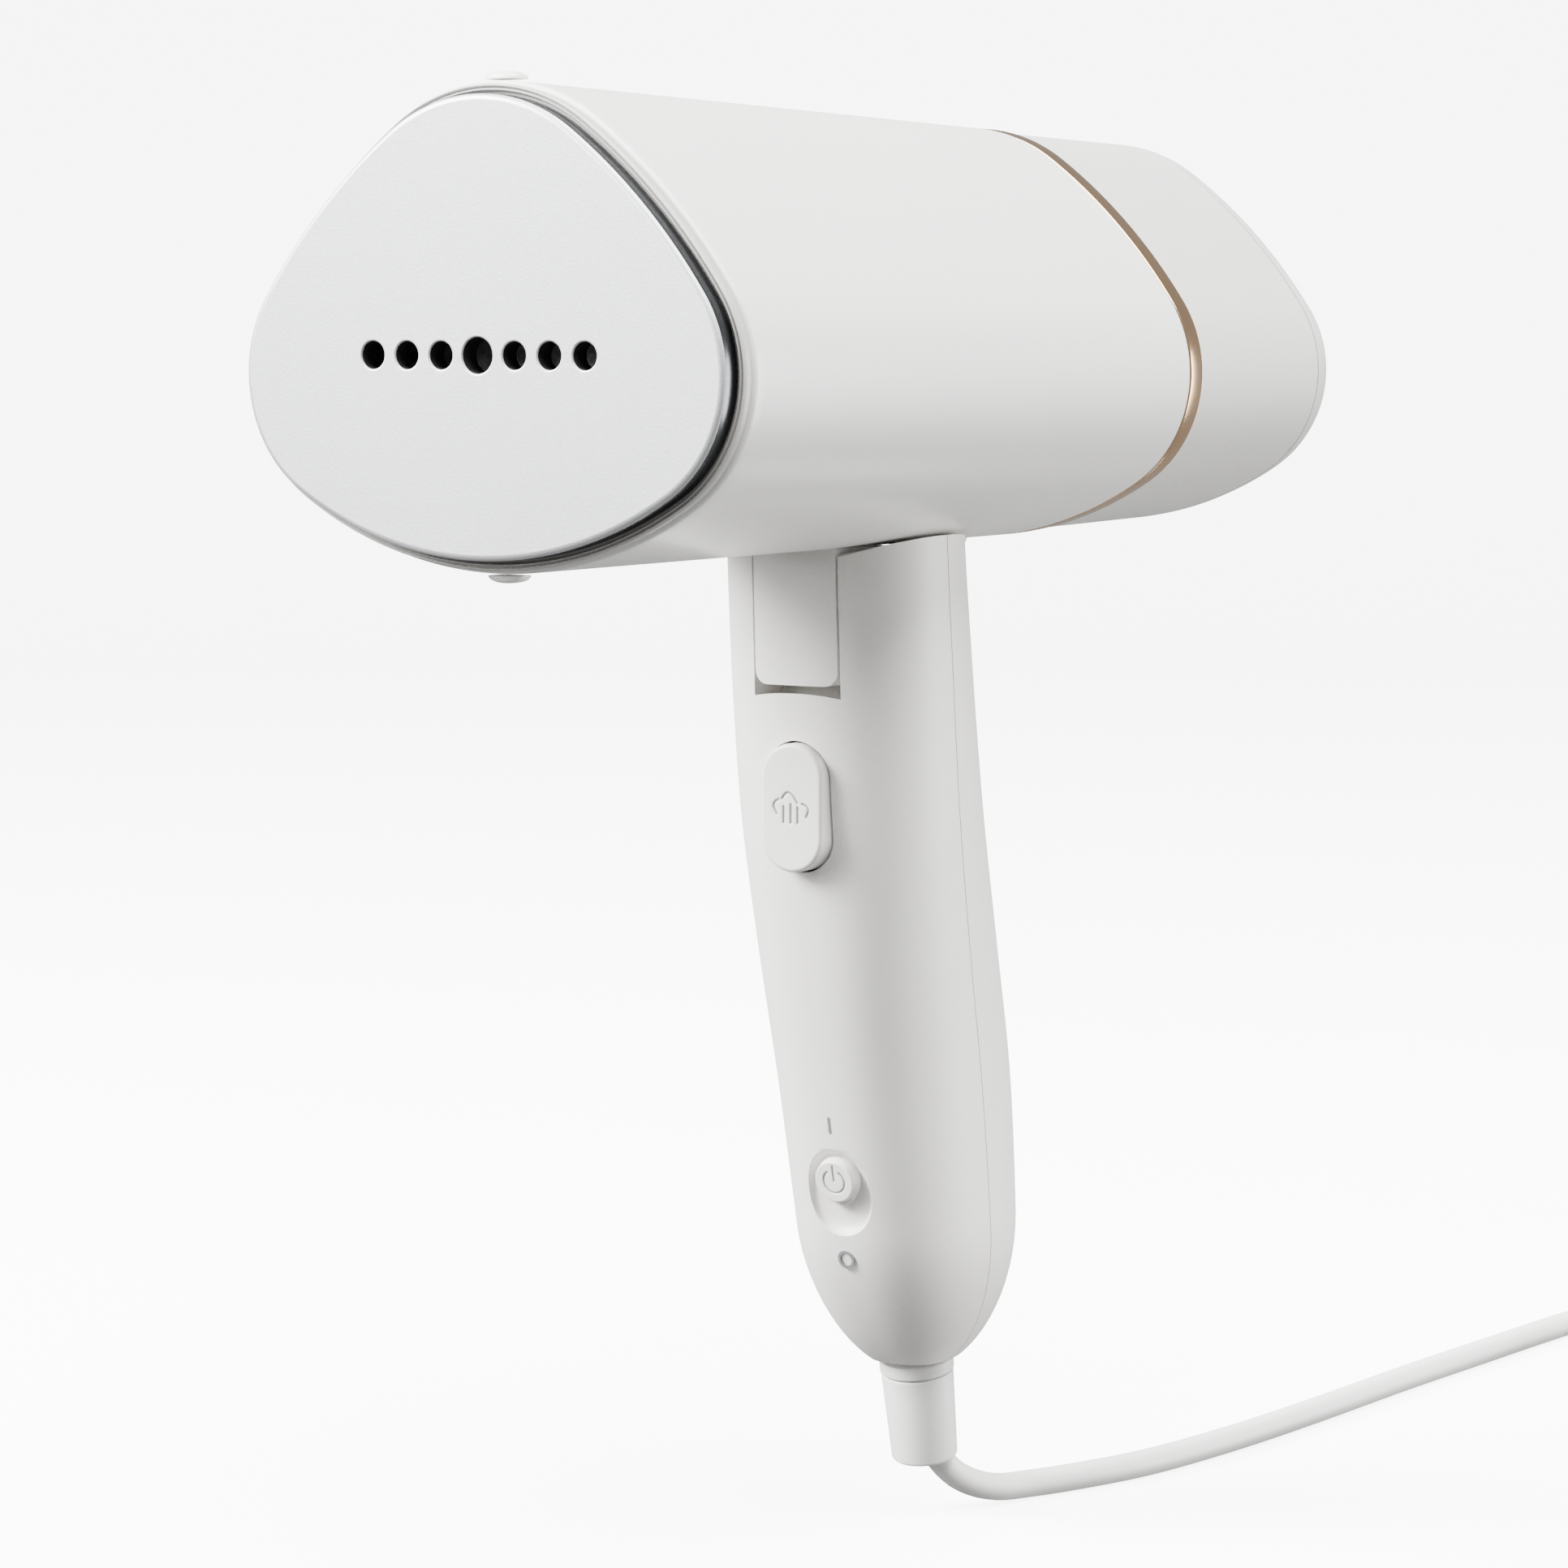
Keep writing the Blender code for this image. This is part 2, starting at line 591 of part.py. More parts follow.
def make_tank(wall_y):
    seat = wall_y + 0.003 + GAP + 0.0022 + GAP
    tank = skin("tank_shell", tank_wall_rings(seat), FROST, origin=(0, TANK_Y, HEAD_Z))
    port = rod("valve_port", STEM_RADIUS + GAP, (0, seat - 0.002, PUMP_Z), (0, 1, 0), 0.007, cutter=True)
    floor = min(p[2] for p in tank_ring(FLAP_Y))
    mouth = box("filler_mouth", (-FLAP_WIDTH / 2 - RUN, FLAP_Y - RUN, floor - 0.004),
                (FLAP_WIDTH / 2 + RUN, FLAP_Y + FLAP_LENGTH + RUN, floor + 0.006), cutter=True)
    pin_at = (-FLAP_WIDTH / 2 - 0.0025, FLAP_Y + FLAP_PIN_UP, floor + FLAP_PIN_UP)
    drill = rod("flap_drill", FLAP_PIN_RADIUS + GAP, (pin_at[0] - GAP, *pin_at[1:]), (1, 0, 0),
                -2 * (pin_at[0] - GAP), steps=12, cutter=True)
    cut(tank, port, mouth, drill)
    rod("flap_pin", FLAP_PIN_RADIUS, pin_at, (1, 0, 0), -2 * pin_at[0], STEEL, 12)
    flap = skin("filler_flap", tank_wall_rings(seat), FROST, origin=(0, *pin_at[1:]))
    block = box("flap_block", (-FLAP_WIDTH / 2, FLAP_Y, floor - 0.004),
                (FLAP_WIDTH / 2, FLAP_Y + FLAP_LENGTH, floor + 0.006), cutter=True)
    boolean(flap, block, "INTERSECT")
    relief = extruded("flap_relief", flap_heel(pin_at), -FLAP_WIDTH, FLAP_WIDTH, "X", cutter=True)
    cut(flap, relief, drill)
    stem = [(0, -0.0030), (STEM_RADIUS - GAP, -0.0030), (STEM_RADIUS - GAP, 0.0), (0.0078, 0.0),
            (0.0078, 0.0022), (STEM_RADIUS, 0.0022), (STEM_RADIUS, 0.0085), (0, 0.0085)]
    turned("tank_valve", stem, (0, wall_y + 0.003 + GAP, PUMP_Z), (0, 1, 0), BLACK, 24)
    make_cap()


def flap_heel(pin_at):
    """Side view of what is cut from the flap's hinge end, so that its heel is round about the pin."""
    y, z = pin_at[1:]
    radius = FLAP_PIN_UP
    points = [(y - 0.006, z - 0.006), (y, z - 0.006)]
    points += [(y + radius * math.cos(math.radians(a)), z + radius * math.sin(math.radians(a)))
               for a in range(-90, -271, -15)]
    points += [(y, z + 0.006), (y - 0.006, z + 0.006)]
    return points


def make_cap():
    """Rounded rear end of the tank: a quarter round, its wall parallel to it.

    The rings run from the flat rear face out to the rim, then back inside to the face's inner side.
    """
    rings = []
    turns = [math.radians(a) for a in (0, 22, 44, 66, 90)]
    for t in reversed(turns):
        rings.append(head_ring(CAP_Y + TANK_END_RADIUS * math.sin(t),
                               TANK_END_OFFSET - TANK_END_RADIUS * (1 - math.cos(t)), HOUSING_DROP))
    inner = TANK_END_RADIUS - TANK_WALL
    for t in turns:
        rings.append(head_ring(CAP_Y + inner * math.sin(t),
                               TANK_END_OFFSET - TANK_WALL - inner * (1 - math.cos(t)), HOUSING_DROP))
    skin("tank_end_cap", rings, FROST, origin=(0, TANK_Y, HEAD_Z))


# ---- handle ------------------------------------------------------------------------------------------
def handle_at(z):
    """Middle along Y, half width and half depth at a height, by a smooth curve through the stations."""
    rows = HANDLE_STATIONS
    k = 0
    while k < len(rows) - 2 and z < rows[k + 1][0]:
        k += 1
    near = [rows[min(max(k + i, 0), len(rows) - 1)] for i in (-1, 0, 1, 2)]
    t = min(max((rows[k][0] - z) / (rows[k][0] - rows[k + 1][0]), 0.0), 1.0)
    values = []
    for i in (1, 2, 3):
        a, b, c, d = [row[i] for row in near]
        values.append(0.5 * (2 * b + (c - a) * t + (2 * a - 5 * b + 4 * c - d) * t * t
                             + (3 * b - a - 3 * c + d) * t ** 3))
    return values


def handle_ring(z, wall=0.0, power=HANDLE_POWER):
    """Superellipse section; near the foot it draws in along a quarter ellipse."""
    middle, half_width, half_depth = handle_at(z)
    foot = HANDLE_FOOT + wall
    start = HANDLE_FOOT + FOOT_ROUND
    shrink = 1.0
    if z < start:
        shrink = math.sqrt(max(1 - ((start - z) / (start - foot + 0.003)) ** 2, 0.0))
    ring = []
    for i in range(SECTION_STEPS):
        t = 2 * math.pi * i / SECTION_STEPS
        c, s = math.cos(t), math.sin(t)
        x = math.copysign(abs(c) ** (2 / power), c) * (half_width - wall)
        y = math.copysign(abs(s) ** (2 / power), s) * (half_depth - wall)
        ring.append((x * shrink, middle + y * shrink, z))
    return ring


def handle_heights(low, high):
    """Heights of the sections: even up the grip, closer round the foot."""
    start = HANDLE_FOOT + FOOT_ROUND
    rise = [start - (start - low) * math.sin(math.radians(a)) for a in (90, 72, 58, 45, 32, 16, 0)]
    count = 9
    return rise + [start + (high - start) * i / count for i in range(1, count + 1)]


def handle_loft(name, low, high, wall, look=None):
    """The handle's form between two heights, as a cutter unless it is given a material."""
    return skin(name, [handle_ring(z, wall) for z in handle_heights(low, high)], look, cutter=look is None)


def parting_block(name, ahead, keep):
    """Block ahead of or behind the surface where the two handle shells meet."""
    heights = [HANDLE_TOP + 0.01 - i * 0.01 for i in range(20)]
    edge = [(handle_at(z)[0] + keep, z) for z in heights]
    far = -0.08 if ahead else 0.08
    return extruded(name, edge + [(far, heights[-1]), (far, heights[0])], -0.05, 0.05, "X", cutter=True)


def front_y(z):
    middle, _, half_depth = handle_at(z)
    return middle - half_depth


def back_y(z):
    middle, _, half_depth = handle_at(z)
    return middle + half_depth


def hinge_circle(radius, start, end, step=10):
    """Points (y, z) of an arc about the hinge pin, in degrees from +Y towards +Z."""
    count = max(1, round(abs(end - start) / step))
    turns = [math.radians(start + (end - start) * i / count) for i in range(count + 1)]
    return [(HINGE_Y + radius * math.cos(t), HINGE_Z + radius * math.sin(t)) for t in turns]


def tab_side(grow):
    """Side view of the tab: flat end at the front, round about the pin at the back."""
    radius = TAB_BEHIND + grow
    below = TAB_BELOW + grow
    start = -math.degrees(math.asin(below / radius))
    points = [(HINGE_Y - 0.016, HINGE_Z - below)]
    points += hinge_circle(radius, start, 0)
    points += [(HINGE_Y + radius, FLANGE_Z), (HINGE_Y - 0.016, FLANGE_Z)]
    return points


def tab_front(grow):
    """Front view of the tab: a rectangle with its two lower corners round."""
    half = TAB_HALF + grow
    low = HINGE_Z - TAB_BELOW - grow
    corner = TAB_CORNER + grow
    points = [(half, FLANGE_Z)]
    for side, start in ((1, 0), (-1, 270)):
        for i in range(6):
            turn = math.radians(start - 18 * i)
            points.append((side * (half - corner) + corner * math.cos(turn),
                           low + corner + corner * math.sin(turn)))
    return points + [(-half, FLANGE_Z)]


def make_tab_sweep():
    """What the tab's lower end passes through as the handle folds, slice by slice across X."""
    half = TAB_HALF + RUN + 0.00005
    turns = [2 * math.pi * i / 32 for i in range(32)]
    rings = []
    corner = TAB_CORNER
    inward = half - corner
    places = [-half, *[-inward - corner * math.cos(math.radians(a)) for a in (30, 60, 90)]]
    places += [-x for x in reversed(places)]
    for x in places:
        past = max(abs(x) - inward, 0.0)
        lift = corner - math.sqrt(max(corner ** 2 - past ** 2, 0.0))
        ahead = HINGE_Y - front_y(HINGE_Z - TAB_BELOW)
        radius = max(math.hypot(ahead, TAB_BELOW - lift), TAB_BEHIND) + 2 * RUN
        rings.append([(x, HINGE_Y + radius * math.cos(t), HINGE_Z + radius * math.sin(t)) for t in turns])
    return skin("tab_sweep", rings, cutter=True)


def head_clearances():
    """The head's outside, a little grown, as the handle meets it through the first part of the fold."""
    made = []
    for i, turn in enumerate((0, 8, 16)):
        rings = [housing_ring(y, 2 * RUN) for y in (-0.070, 0.028)]
        spin = Matrix.Rotation(math.radians(turn), 3, "X")
        pivot = Vector((0, HINGE_Y, HINGE_Z))
        rings = [[spin @ (Vector(p) - pivot) + pivot for p in ring] for ring in rings]
        made.append(skin(f"head_clearance_{i}", rings, cutter=True))
    return made


def foot_plane():
    """Block below the slanted flat where the flex collar meets the foot."""
    made = box("foot_plane", (-0.03, -0.03, -0.03), (0.03, 0.03, 0.0), cutter=True)
    made.matrix_world = exit_matrix()
    return made


def exit_matrix():
    return Matrix.Translation((0, EXIT_Y, HANDLE_FOOT)) @ Matrix.Rotation(math.radians(EXIT_TILT), 4, "X")


def exit_point(down, x=0.0, y=0.0):
    """World point a distance down the flex's axis from the foot."""
    return exit_matrix() @ Vector((x, y, -down))


EXIT_AXIS = tuple(exit_point(-1.0) - exit_point(0.0))


def make_handle():
    outer = handle_loft("handle_outer", HANDLE_FOOT, HANDLE_TOP, 0.0)
    inner = handle_loft("handle_inner", HANDLE_FOOT + HANDLE_WALL + 0.001, HANDLE_TOP + 0.004, HANDLE_WALL)
    low = handle_loft("front_hollow", HANDLE_FOOT + HANDLE_WALL + 0.001, HINGE_Z - 0.0125, HANDLE_WALL)
    ahead = parting_block("front_half", True, -GAP / 2)
    behind = parting_block("rear_half", False, GAP / 2)
    spill = rod("flex_way", 0.0054, exit_point(0.010), EXIT_AXIS, 0.030, cutter=True)
    clear = head_clearances()
    flat = foot_plane()
    front = handle_loft("handle_front_shell", HANDLE_FOOT, HANDLE_TOP, 0.0, WARM)
    rear = handle_loft("handle_rear_shell", HANDLE_FOOT, HANDLE_TOP, 0.0, WARM)
    boolean(front, ahead, "INTERSECT")
    boolean(rear, behind, "INTERSECT")
    cut(front, low)
    cut(rear, inner)
    add_screws(front, rear)
    for tool in clear:
        # The exact solver loses the shell where these slant across the cut before.
        boolean(front, tool, "DIFFERENCE", "MANIFOLD")
    cut(front, flat, spill)
    cut(rear, clear[0], flat, spill)
    slot_side = extruded("slot_side", tab_side(RUN), -2 * TAB_HALF, 2 * TAB_HALF, "X", cutter=True)
    slot_front = extruded("slot_front", tab_front(RUN), HINGE_Y - 0.012, HINGE_Y + 2 * TAB_BEHIND, "Y",
                          cutter=True)
    boolean(slot_side, slot_front, "INTERSECT")
    bore = rod("hinge_bore", PIN_RADIUS + RUN, (-PIN_HALF - GAP, HINGE_Y, HINGE_Z), (1, 0, 0),
               2 * (PIN_HALF + GAP), cutter=True)
    cut(front, slot_side, make_tab_sweep(), bore)
    pad, *openings = control_openings()
    boolean(front, pad, "UNION")
    cut(front, *openings)
    rod("hinge_pin", PIN_RADIUS, (-PIN_HALF, HINGE_Y, HINGE_Z), (1, 0, 0), 2 * PIN_HALF, STEEL)
    make_bracket(outer, bore)


def make_bracket(outer, bore):
    """Tab that fills the slot in the handle, and its flange inside the head."""
    tab = extruded("neck_bracket", tab_side(0.0), -2 * TAB_HALF, 2 * TAB_HALF, "X", WARM)
    front = extruded("tab_front", tab_front(0.0), HINGE_Y - 0.012, HINGE_Y + 2 * TAB_BEHIND, "Y", cutter=True)
    boolean(tab, front, "INTERSECT")
    boolean(tab, outer, "INTERSECT")
    flange = box("neck_flange", (-0.016, HINGE_Y - 0.012, FLANGE_Z - 0.0002),
                 (0.016, HINGE_Y + 0.016, FLANGE_Z + FLANGE_THICK), cutter=True)
    boolean(tab, flange, "UNION")
    cut(tab, bore)
    for i, (x, y) in enumerate(((-0.0128, -0.009), (0.0128, -0.009), (-0.0128, 0.013), (0.0128, 0.013))):
        at = (x, HINGE_Y + y, FLANGE_Z - 0.0006)
        drill = rod(f"flange_drill_{i}", 0.0018, (at[0], at[1], at[2] - 0.002), (0, 0, 1), 0.010, steps=12,
                    cutter=True)
        cut(tab, drill)
        screw = [(0, 0), (0.0014, 0), (0.0014, FLANGE_THICK + 0.0009), (0.0027, FLANGE_THICK + 0.0009),
                 (0.0027, FLANGE_THICK + 0.0026), (0, FLANGE_THICK + 0.0026)]
        turned(f"bracket_screw_{i + 1}", screw, at, (0, 0, 1), STEEL, 12)


def add_screws(front, rear):
    """Posts inside the front shell, bosses inside the rear one, and the screws that draw them together."""
    head_depth = 0.0024
    boss_depth = 0.0040
    for i, z in enumerate(SCREW_HEIGHTS):
        back = back_y(z)
        boss_end = back - HANDLE_WALL - boss_depth + 0.001
        root = handle_at(z)[0] - 0.002 if z > HINGE_Z - 0.012 else front_y(z) + 0.0015
        post = rod(f"post_{i}", POST_RADIUS, (0, root, z), (0, 1, 0), boss_end - GAP - root, steps=16,
                   cutter=True)
        boss = rod(f"boss_{i}", POST_RADIUS + 0.001, (0, boss_end, z), (0, 1, 0), back - 0.0012 - boss_end,
                   steps=16, cutter=True)
        boolean(front, post, "UNION")
        boolean(rear, boss, "UNION")
        pilot = rod(f"pilot_{i}", SCREW_SHANK + GAP, (0, boss_end - 0.009, z), (0, 1, 0), 0.02, steps=12,
                    cutter=True)
        sink = rod(f"sink_{i}", SCREW_HEAD + GAP, (0, back - head_depth - 0.0006, z), (0, 1, 0), 0.02,
                   steps=16, cutter=True)
        cut(front, pilot)
        cut(rear, pilot, sink)
        base = boss_end - 0.008
        seat = back - head_depth - 0.0003
        screw = [(0, 0), (SCREW_SHANK, 0), (SCREW_SHANK, seat - base), (SCREW_HEAD, seat - base),
                 (SCREW_HEAD, seat - base + 0.0019), (0, seat - base + 0.0019)]
        turned(f"handle_screw_{i + 1}", screw, (0, base, z), (0, 1, 0), STEEL, 16)


# ---- controls ----------------------------------------------------------------------------------------
SLIDE_TURN = math.atan2(front_y(SLIDER_Z - 0.012) - front_y(SLIDER_Z + 0.012), 0.024)


def slide_matrix(down=0.0):
    """Local +Y into the handle, local Z up the front, at the slider's recess."""
    turn = Matrix.Rotation(SLIDE_TURN, 4, "X")
    return Matrix.Translation((0, front_y(SLIDER_Z), SLIDER_Z)) @ turn @ Matrix.Translation((0, 0, -down))


def on_slide(made):
    made.matrix_world = slide_matrix() @ made.matrix_world
    return made


def control_openings():
    hole = extruded("trigger_opening", [(x, TRIGGER_Z + z) for x, z in
                                        pill(TRIGGER_WIDTH, TRIGGER_HEIGHT, grow=RUN)],
                    -0.050, front_y(TRIGGER_Z) + 0.008, "Y", cutter=True)
    recess = on_slide(extruded("slider_recess", pill(RECESS_WIDTH, RECESS_HEIGHT), -0.010, RECESS_DEPTH, "Y",
                               cutter=True))
    half = STALK_WIDTH / 2 + RUN
    travel = KNOB_TRAVEL / 2
    slot = on_slide(box("slider_slot", (-half, -0.001, -half - travel), (half, 0.008, half + travel),
                        cutter=True))
    pad = on_slide(box("slider_pad", (-0.0085, RECESS_DEPTH + 0.00005, -0.011),
                       (0.0085, RECESS_DEPTH + 0.0015, 0.011), cutter=True))
    return pad, hole, recess, slot


def make_trigger():
    face = front_y(TRIGGER_Z) - TRIGGER_PROUD
    deep = front_y(TRIGGER_Z) + 0.0058
    start = (0, face, TRIGGER_Z)
    soft = 0.0008
    rings = []
    for y, grow in ((face, -soft), (face + 0.3 * soft, -0.3 * soft), (face + soft, 0.0), (deep, 0.0)):
        rings.append([(x, y, TRIGGER_Z + z) for x, z in pill(TRIGGER_WIDTH, TRIGGER_HEIGHT, grow=grow)])
    trigger = skin("steam_trigger", rings, WARM, origin=start)
    lip_outline = [(x, TRIGGER_Z + z) for x, z in pill(TRIGGER_WIDTH, TRIGGER_HEIGHT, grow=0.0016)]
    lip = extruded("trigger_lip", lip_outline, deep - 0.0014, deep, "Y", cutter=True)
    boolean(trigger, lip, "UNION")
    stem = rod("trigger_stem", 0.0020, (0, deep - 0.0005, TRIGGER_Z - 0.004), (0, 1, 0), 0.0015, steps=12,
               cutter=True)
    boolean(trigger, stem, "UNION")
    switch_y = deep + 0.0010 + TRIGGER_TRAVEL + GAP
    box("trigger_microswitch", (-0.0045, switch_y, TRIGGER_Z - 0.0085),
        (0.0045, switch_y + 0.0060, TRIGGER_Z + 0.0085), BLACK, 0.0004)
    turns, radius = 3, 0.0026
    first, last = deep + GAP + 0.0003, switch_y - GAP - 0.0003
    coil = []
    for i in range(turns * 10 + 1):
        t = 2 * math.pi * i / 10
        coil.append((radius * math.cos(t), first + (last - first) * i / (turns * 10),
                     TRIGGER_Z + 0.0045 + radius * math.sin(t)))
    tube("trigger_spring", coil, 0.0003, STEEL, 1)


def make_slider():
    """Round knob on a stalk, at the upper end of its travel."""
    up = KNOB_TRAVEL / 2
    turn = slide_matrix(-up)
    base = turn @ Vector((0, RECESS_DEPTH - GAP, 0))
    inward = tuple(turn.to_3x3() @ Vector((0, 1, 0)))
    outward = tuple(-Vector(inward))
    thick = RECESS_DEPTH - GAP + KNOB_PROUD
    soft = 0.0006
    profile = [(0, 0), (KNOB_RADIUS, 0), (KNOB_RADIUS, thick - soft),
               (KNOB_RADIUS - 0.3 * soft, thick - 0.3 * soft), (KNOB_RADIUS - soft, thick), (0, thick)]
    knob = turned("power_slider", profile, base, outward, WARM, 28)
    stalk = box("slider_stalk", (-STALK_WIDTH / 2, RECESS_DEPTH - 0.001, -STALK_WIDTH / 2),
                (STALK_WIDTH / 2, 0.0062, STALK_WIDTH / 2), cutter=True)
    stalk.matrix_world = slide_matrix(-up)
    boolean(knob, stalk, "UNION")
    on_slide(box("power_switch", (-0.006, 0.0062 + GAP, -0.010), (0.006, 0.0132, 0.010), BLACK, 0.0005))


# ---- flex --------------------------------------------------------------------------------------------
def make_strain_relief():
    bore = FLEX_RADIUS + GAP
    low = -SLEEVE_LENGTH
    top = -COLLAR_LENGTH - GAP
    neck = 0.0048
    mouth = SLEEVE_MOUTH_RADIUS - 0.0008
    grip = low + GRIPPED
    profile = [(bore, 0.0075), (0.0075, 0.0075), (0.0075, 0.0055), (neck, 0.0055), (neck, top),
               (SLEEVE_TOP_RADIUS, top), (SLEEVE_MOUTH_RADIUS, low), (mouth, low),
               (0.6 * mouth + 0.4 * bore, low + 0.4 * GRIPPED),
               (0.2 * mouth + 0.8 * bore, low + 0.75 * GRIPPED),
               (bore, grip)]
    base = tuple(exit_point(0.0))
    turned("strain_relief", profile, base, EXIT_AXIS, SLEEVE, 28)
    inner = neck + GAP
    collar = [(inner, -GAP), (COLLAR_RADIUS, -GAP), (COLLAR_RADIUS, -COLLAR_LENGTH), (inner, -COLLAR_LENGTH)]
    turned("flex_collar", collar, base, EXIT_AXIS, SLEEVE, 28)
    start, end = exit_point(SLEEVE_LENGTH - GRIPPED - GAP), exit_point(-0.016)
    tube("inner_flex", [tuple(start), tuple(start.lerp(end, 0.5)), tuple(end)], FLEX_RADIUS, SLEEVE, 3)
    clamp = [(FLEX_RADIUS + GAP, 0.0090), (0.0060, 0.0090), (0.0060, 0.0140), (FLEX_RADIUS + GAP, 0.0140)]
    turned("flex_clamp", clamp, base, EXIT_AXIS, BLACK, 20)


def flex_route():
    """From inside the sleeve, round to lie flat, then back and to the right as far as the coil."""
    start = exit_point(SLEEVE_LENGTH - GRIPPED)
    second = exit_point(SLEEVE_LENGTH - GRIPPED + 0.0035)
    flat = FLEX_Z
    through = [tuple(start), tuple(second), (0.0013, 0.0182, -0.0985), (0.0040, 0.0228, -0.1045),
               (0.0075, 0.0300, -0.1080), (0.0112, 0.0395, flat), (0.0175, 0.0520, flat),
               (0.0225, 0.0650, flat),
               (0.0265, 0.0820, flat), (0.0300, 0.1030, flat), (0.0330, 0.1280, flat), (0.0360, 0.1580, flat),
               (0.0400, 0.1900, flat), (0.0447, 0.2255, flat)]
    route = smooth_route(through, 0.0090)
    route.insert(1, tuple(second))
    return route


def make_flex():
    tube("flex_lead", flex_route(), FLEX_RADIUS, SLEEVE, 3)
    low = FLEX_Z - FLEX_RADIUS
    inner, outer = COIL_INNER, COIL_OUTER
    soft = 0.0025
    profile = [(inner, soft), (inner + soft, 0), (outer - soft, 0), (outer, soft),
               (outer, COIL_HEIGHT - soft), (outer - soft, COIL_HEIGHT), (inner + soft, COIL_HEIGHT),
               (inner, COIL_HEIGHT - soft)]
    turned("flex_coil", profile, (*COIL_CENTRE, low), (0, 0, 1), SLEEVE, 40)
    turn = math.radians(COIL_LEAVE)
    leave = Vector((COIL_CENTRE[0] + COIL_OUT_RADIUS * math.cos(turn),
                    COIL_CENTRE[1] + COIL_OUT_RADIUS * math.sin(turn), FLEX_Z))
    away = Vector((math.sin(turn), -math.cos(turn), 0))
    reach = math.sqrt((outer + 2 * GAP) ** 2 - (COIL_OUT_RADIUS - FLEX_RADIUS) ** 2) + 0.0012
    tail = [tuple(leave + away * (reach + along) + Vector((0, 0, rise)))
            for along, rise in ((0, 0), (0.010, 0), (0.020, 0.0012), (0.030, 0.0040))]
    tube("flex_tail", smooth_route(tail, 0.0106), FLEX_RADIUS, SLEEVE, 3)
    make_plug(tail[-1], Vector(tail[-1]) - Vector(tail[-2]))


def make_plug(end, direction):
    """Round two-pin plug that lies on its side, its face turned away from the coil."""
    axis = direction.normalized()
    base = Vector(end) + axis * GAP
    length = PLUG_LENGTH
    profile = [(0, 0), (0.0048, 0), (0.0070, 0.010), (0.0105, 0.020), (0.0135, length - 0.010),
               (PLUG_RADIUS - 0.001, length - 0.008), (PLUG_RADIUS, length - 0.006),
               (PLUG_RADIUS, length - 0.001),
               (PLUG_RADIUS - 0.001, length), (0, length)]
    turned("plug_body", profile, base, axis, SLEEVE, 32)
    face = base + axis * (length + GAP)
    across = Vector((0, 0, 1)).cross(axis).normalized()
    for side, way in (("left", -1), ("right", 1)):
        foot = face + across * way * PLUG_PIN_PITCH / 2
        tip = PLUG_PIN_RADIUS * 0.5
        pin = [(0, 0), (PLUG_PIN_RADIUS, 0), (PLUG_PIN_RADIUS, PLUG_PIN_LENGTH - tip),
               (tip, PLUG_PIN_LENGTH), (0, PLUG_PIN_LENGTH)]
        turned(f"plug_pin_{side}", pin, foot, axis, STEEL, 16)


def make_steamer():
    make_plate()
    make_bezel()
    make_housing()
    make_latch()
    generator_back, shield_y = make_steam_side()
    wall_y = make_water_side(generator_back, shield_y)
    make_ring()
    make_tank(wall_y)
    make_handle()
    make_trigger()
    make_slider()
    make_strain_relief()
    make_flex()


make_steamer()
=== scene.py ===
import math

import bmesh
import bpy
import numpy as np
from mathutils import Matrix, Vector


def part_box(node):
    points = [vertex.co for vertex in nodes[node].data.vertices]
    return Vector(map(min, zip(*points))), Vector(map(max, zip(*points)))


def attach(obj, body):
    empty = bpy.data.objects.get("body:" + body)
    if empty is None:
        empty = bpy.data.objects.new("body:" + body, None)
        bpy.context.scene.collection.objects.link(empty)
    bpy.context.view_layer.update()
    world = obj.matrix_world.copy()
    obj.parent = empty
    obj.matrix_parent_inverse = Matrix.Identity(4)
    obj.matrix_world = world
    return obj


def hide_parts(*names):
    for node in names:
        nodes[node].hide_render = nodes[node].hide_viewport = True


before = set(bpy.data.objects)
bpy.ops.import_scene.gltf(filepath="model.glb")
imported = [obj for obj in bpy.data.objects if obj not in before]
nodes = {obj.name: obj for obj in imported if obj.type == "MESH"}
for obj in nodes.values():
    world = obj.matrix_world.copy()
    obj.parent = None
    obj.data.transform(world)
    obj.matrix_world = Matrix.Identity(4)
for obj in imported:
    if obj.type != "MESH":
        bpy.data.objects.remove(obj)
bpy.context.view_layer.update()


# camera: a long lens a little above the head, turned to the steamer's left side
view = {"place": (0.4302, -0.7239, 0.1157), "azimuth": 31.911, "elevation": 5.797, "lens": 105.0}


def makeCamera():
    data = bpy.data.cameras.new("camera")
    data.lens = view["lens"]
    data.sensor_width = 36.0
    data.clip_start = 0.02
    data.clip_end = 30.0
    camera = bpy.data.objects.new("camera", data)
    around, above = math.radians(view["azimuth"]), math.radians(view["elevation"])
    back = Vector((math.sin(around) * math.cos(above), -math.cos(around) * math.cos(above), math.sin(above)))
    camera.location = view["place"]
    camera.rotation_euler = (-back).to_track_quat("-Z", "Y").to_euler()
    bpy.context.scene.collection.objects.link(camera)
    bpy.context.scene.camera = camera


makeCamera()
print("camera placed")


# materials
def linear(code):
    # sRGB hex to linear light: low values divide by 12.92, the rest follow the 2.4 power curve
    value = np.array([int(code[i:i + 2], 16) for i in (1, 3, 5)]) / 255
    value = np.where(value <= 0.04045, value / 12.92, ((value + 0.055) / 1.055) ** 2.4)
    return (*value.tolist(), 1.0)


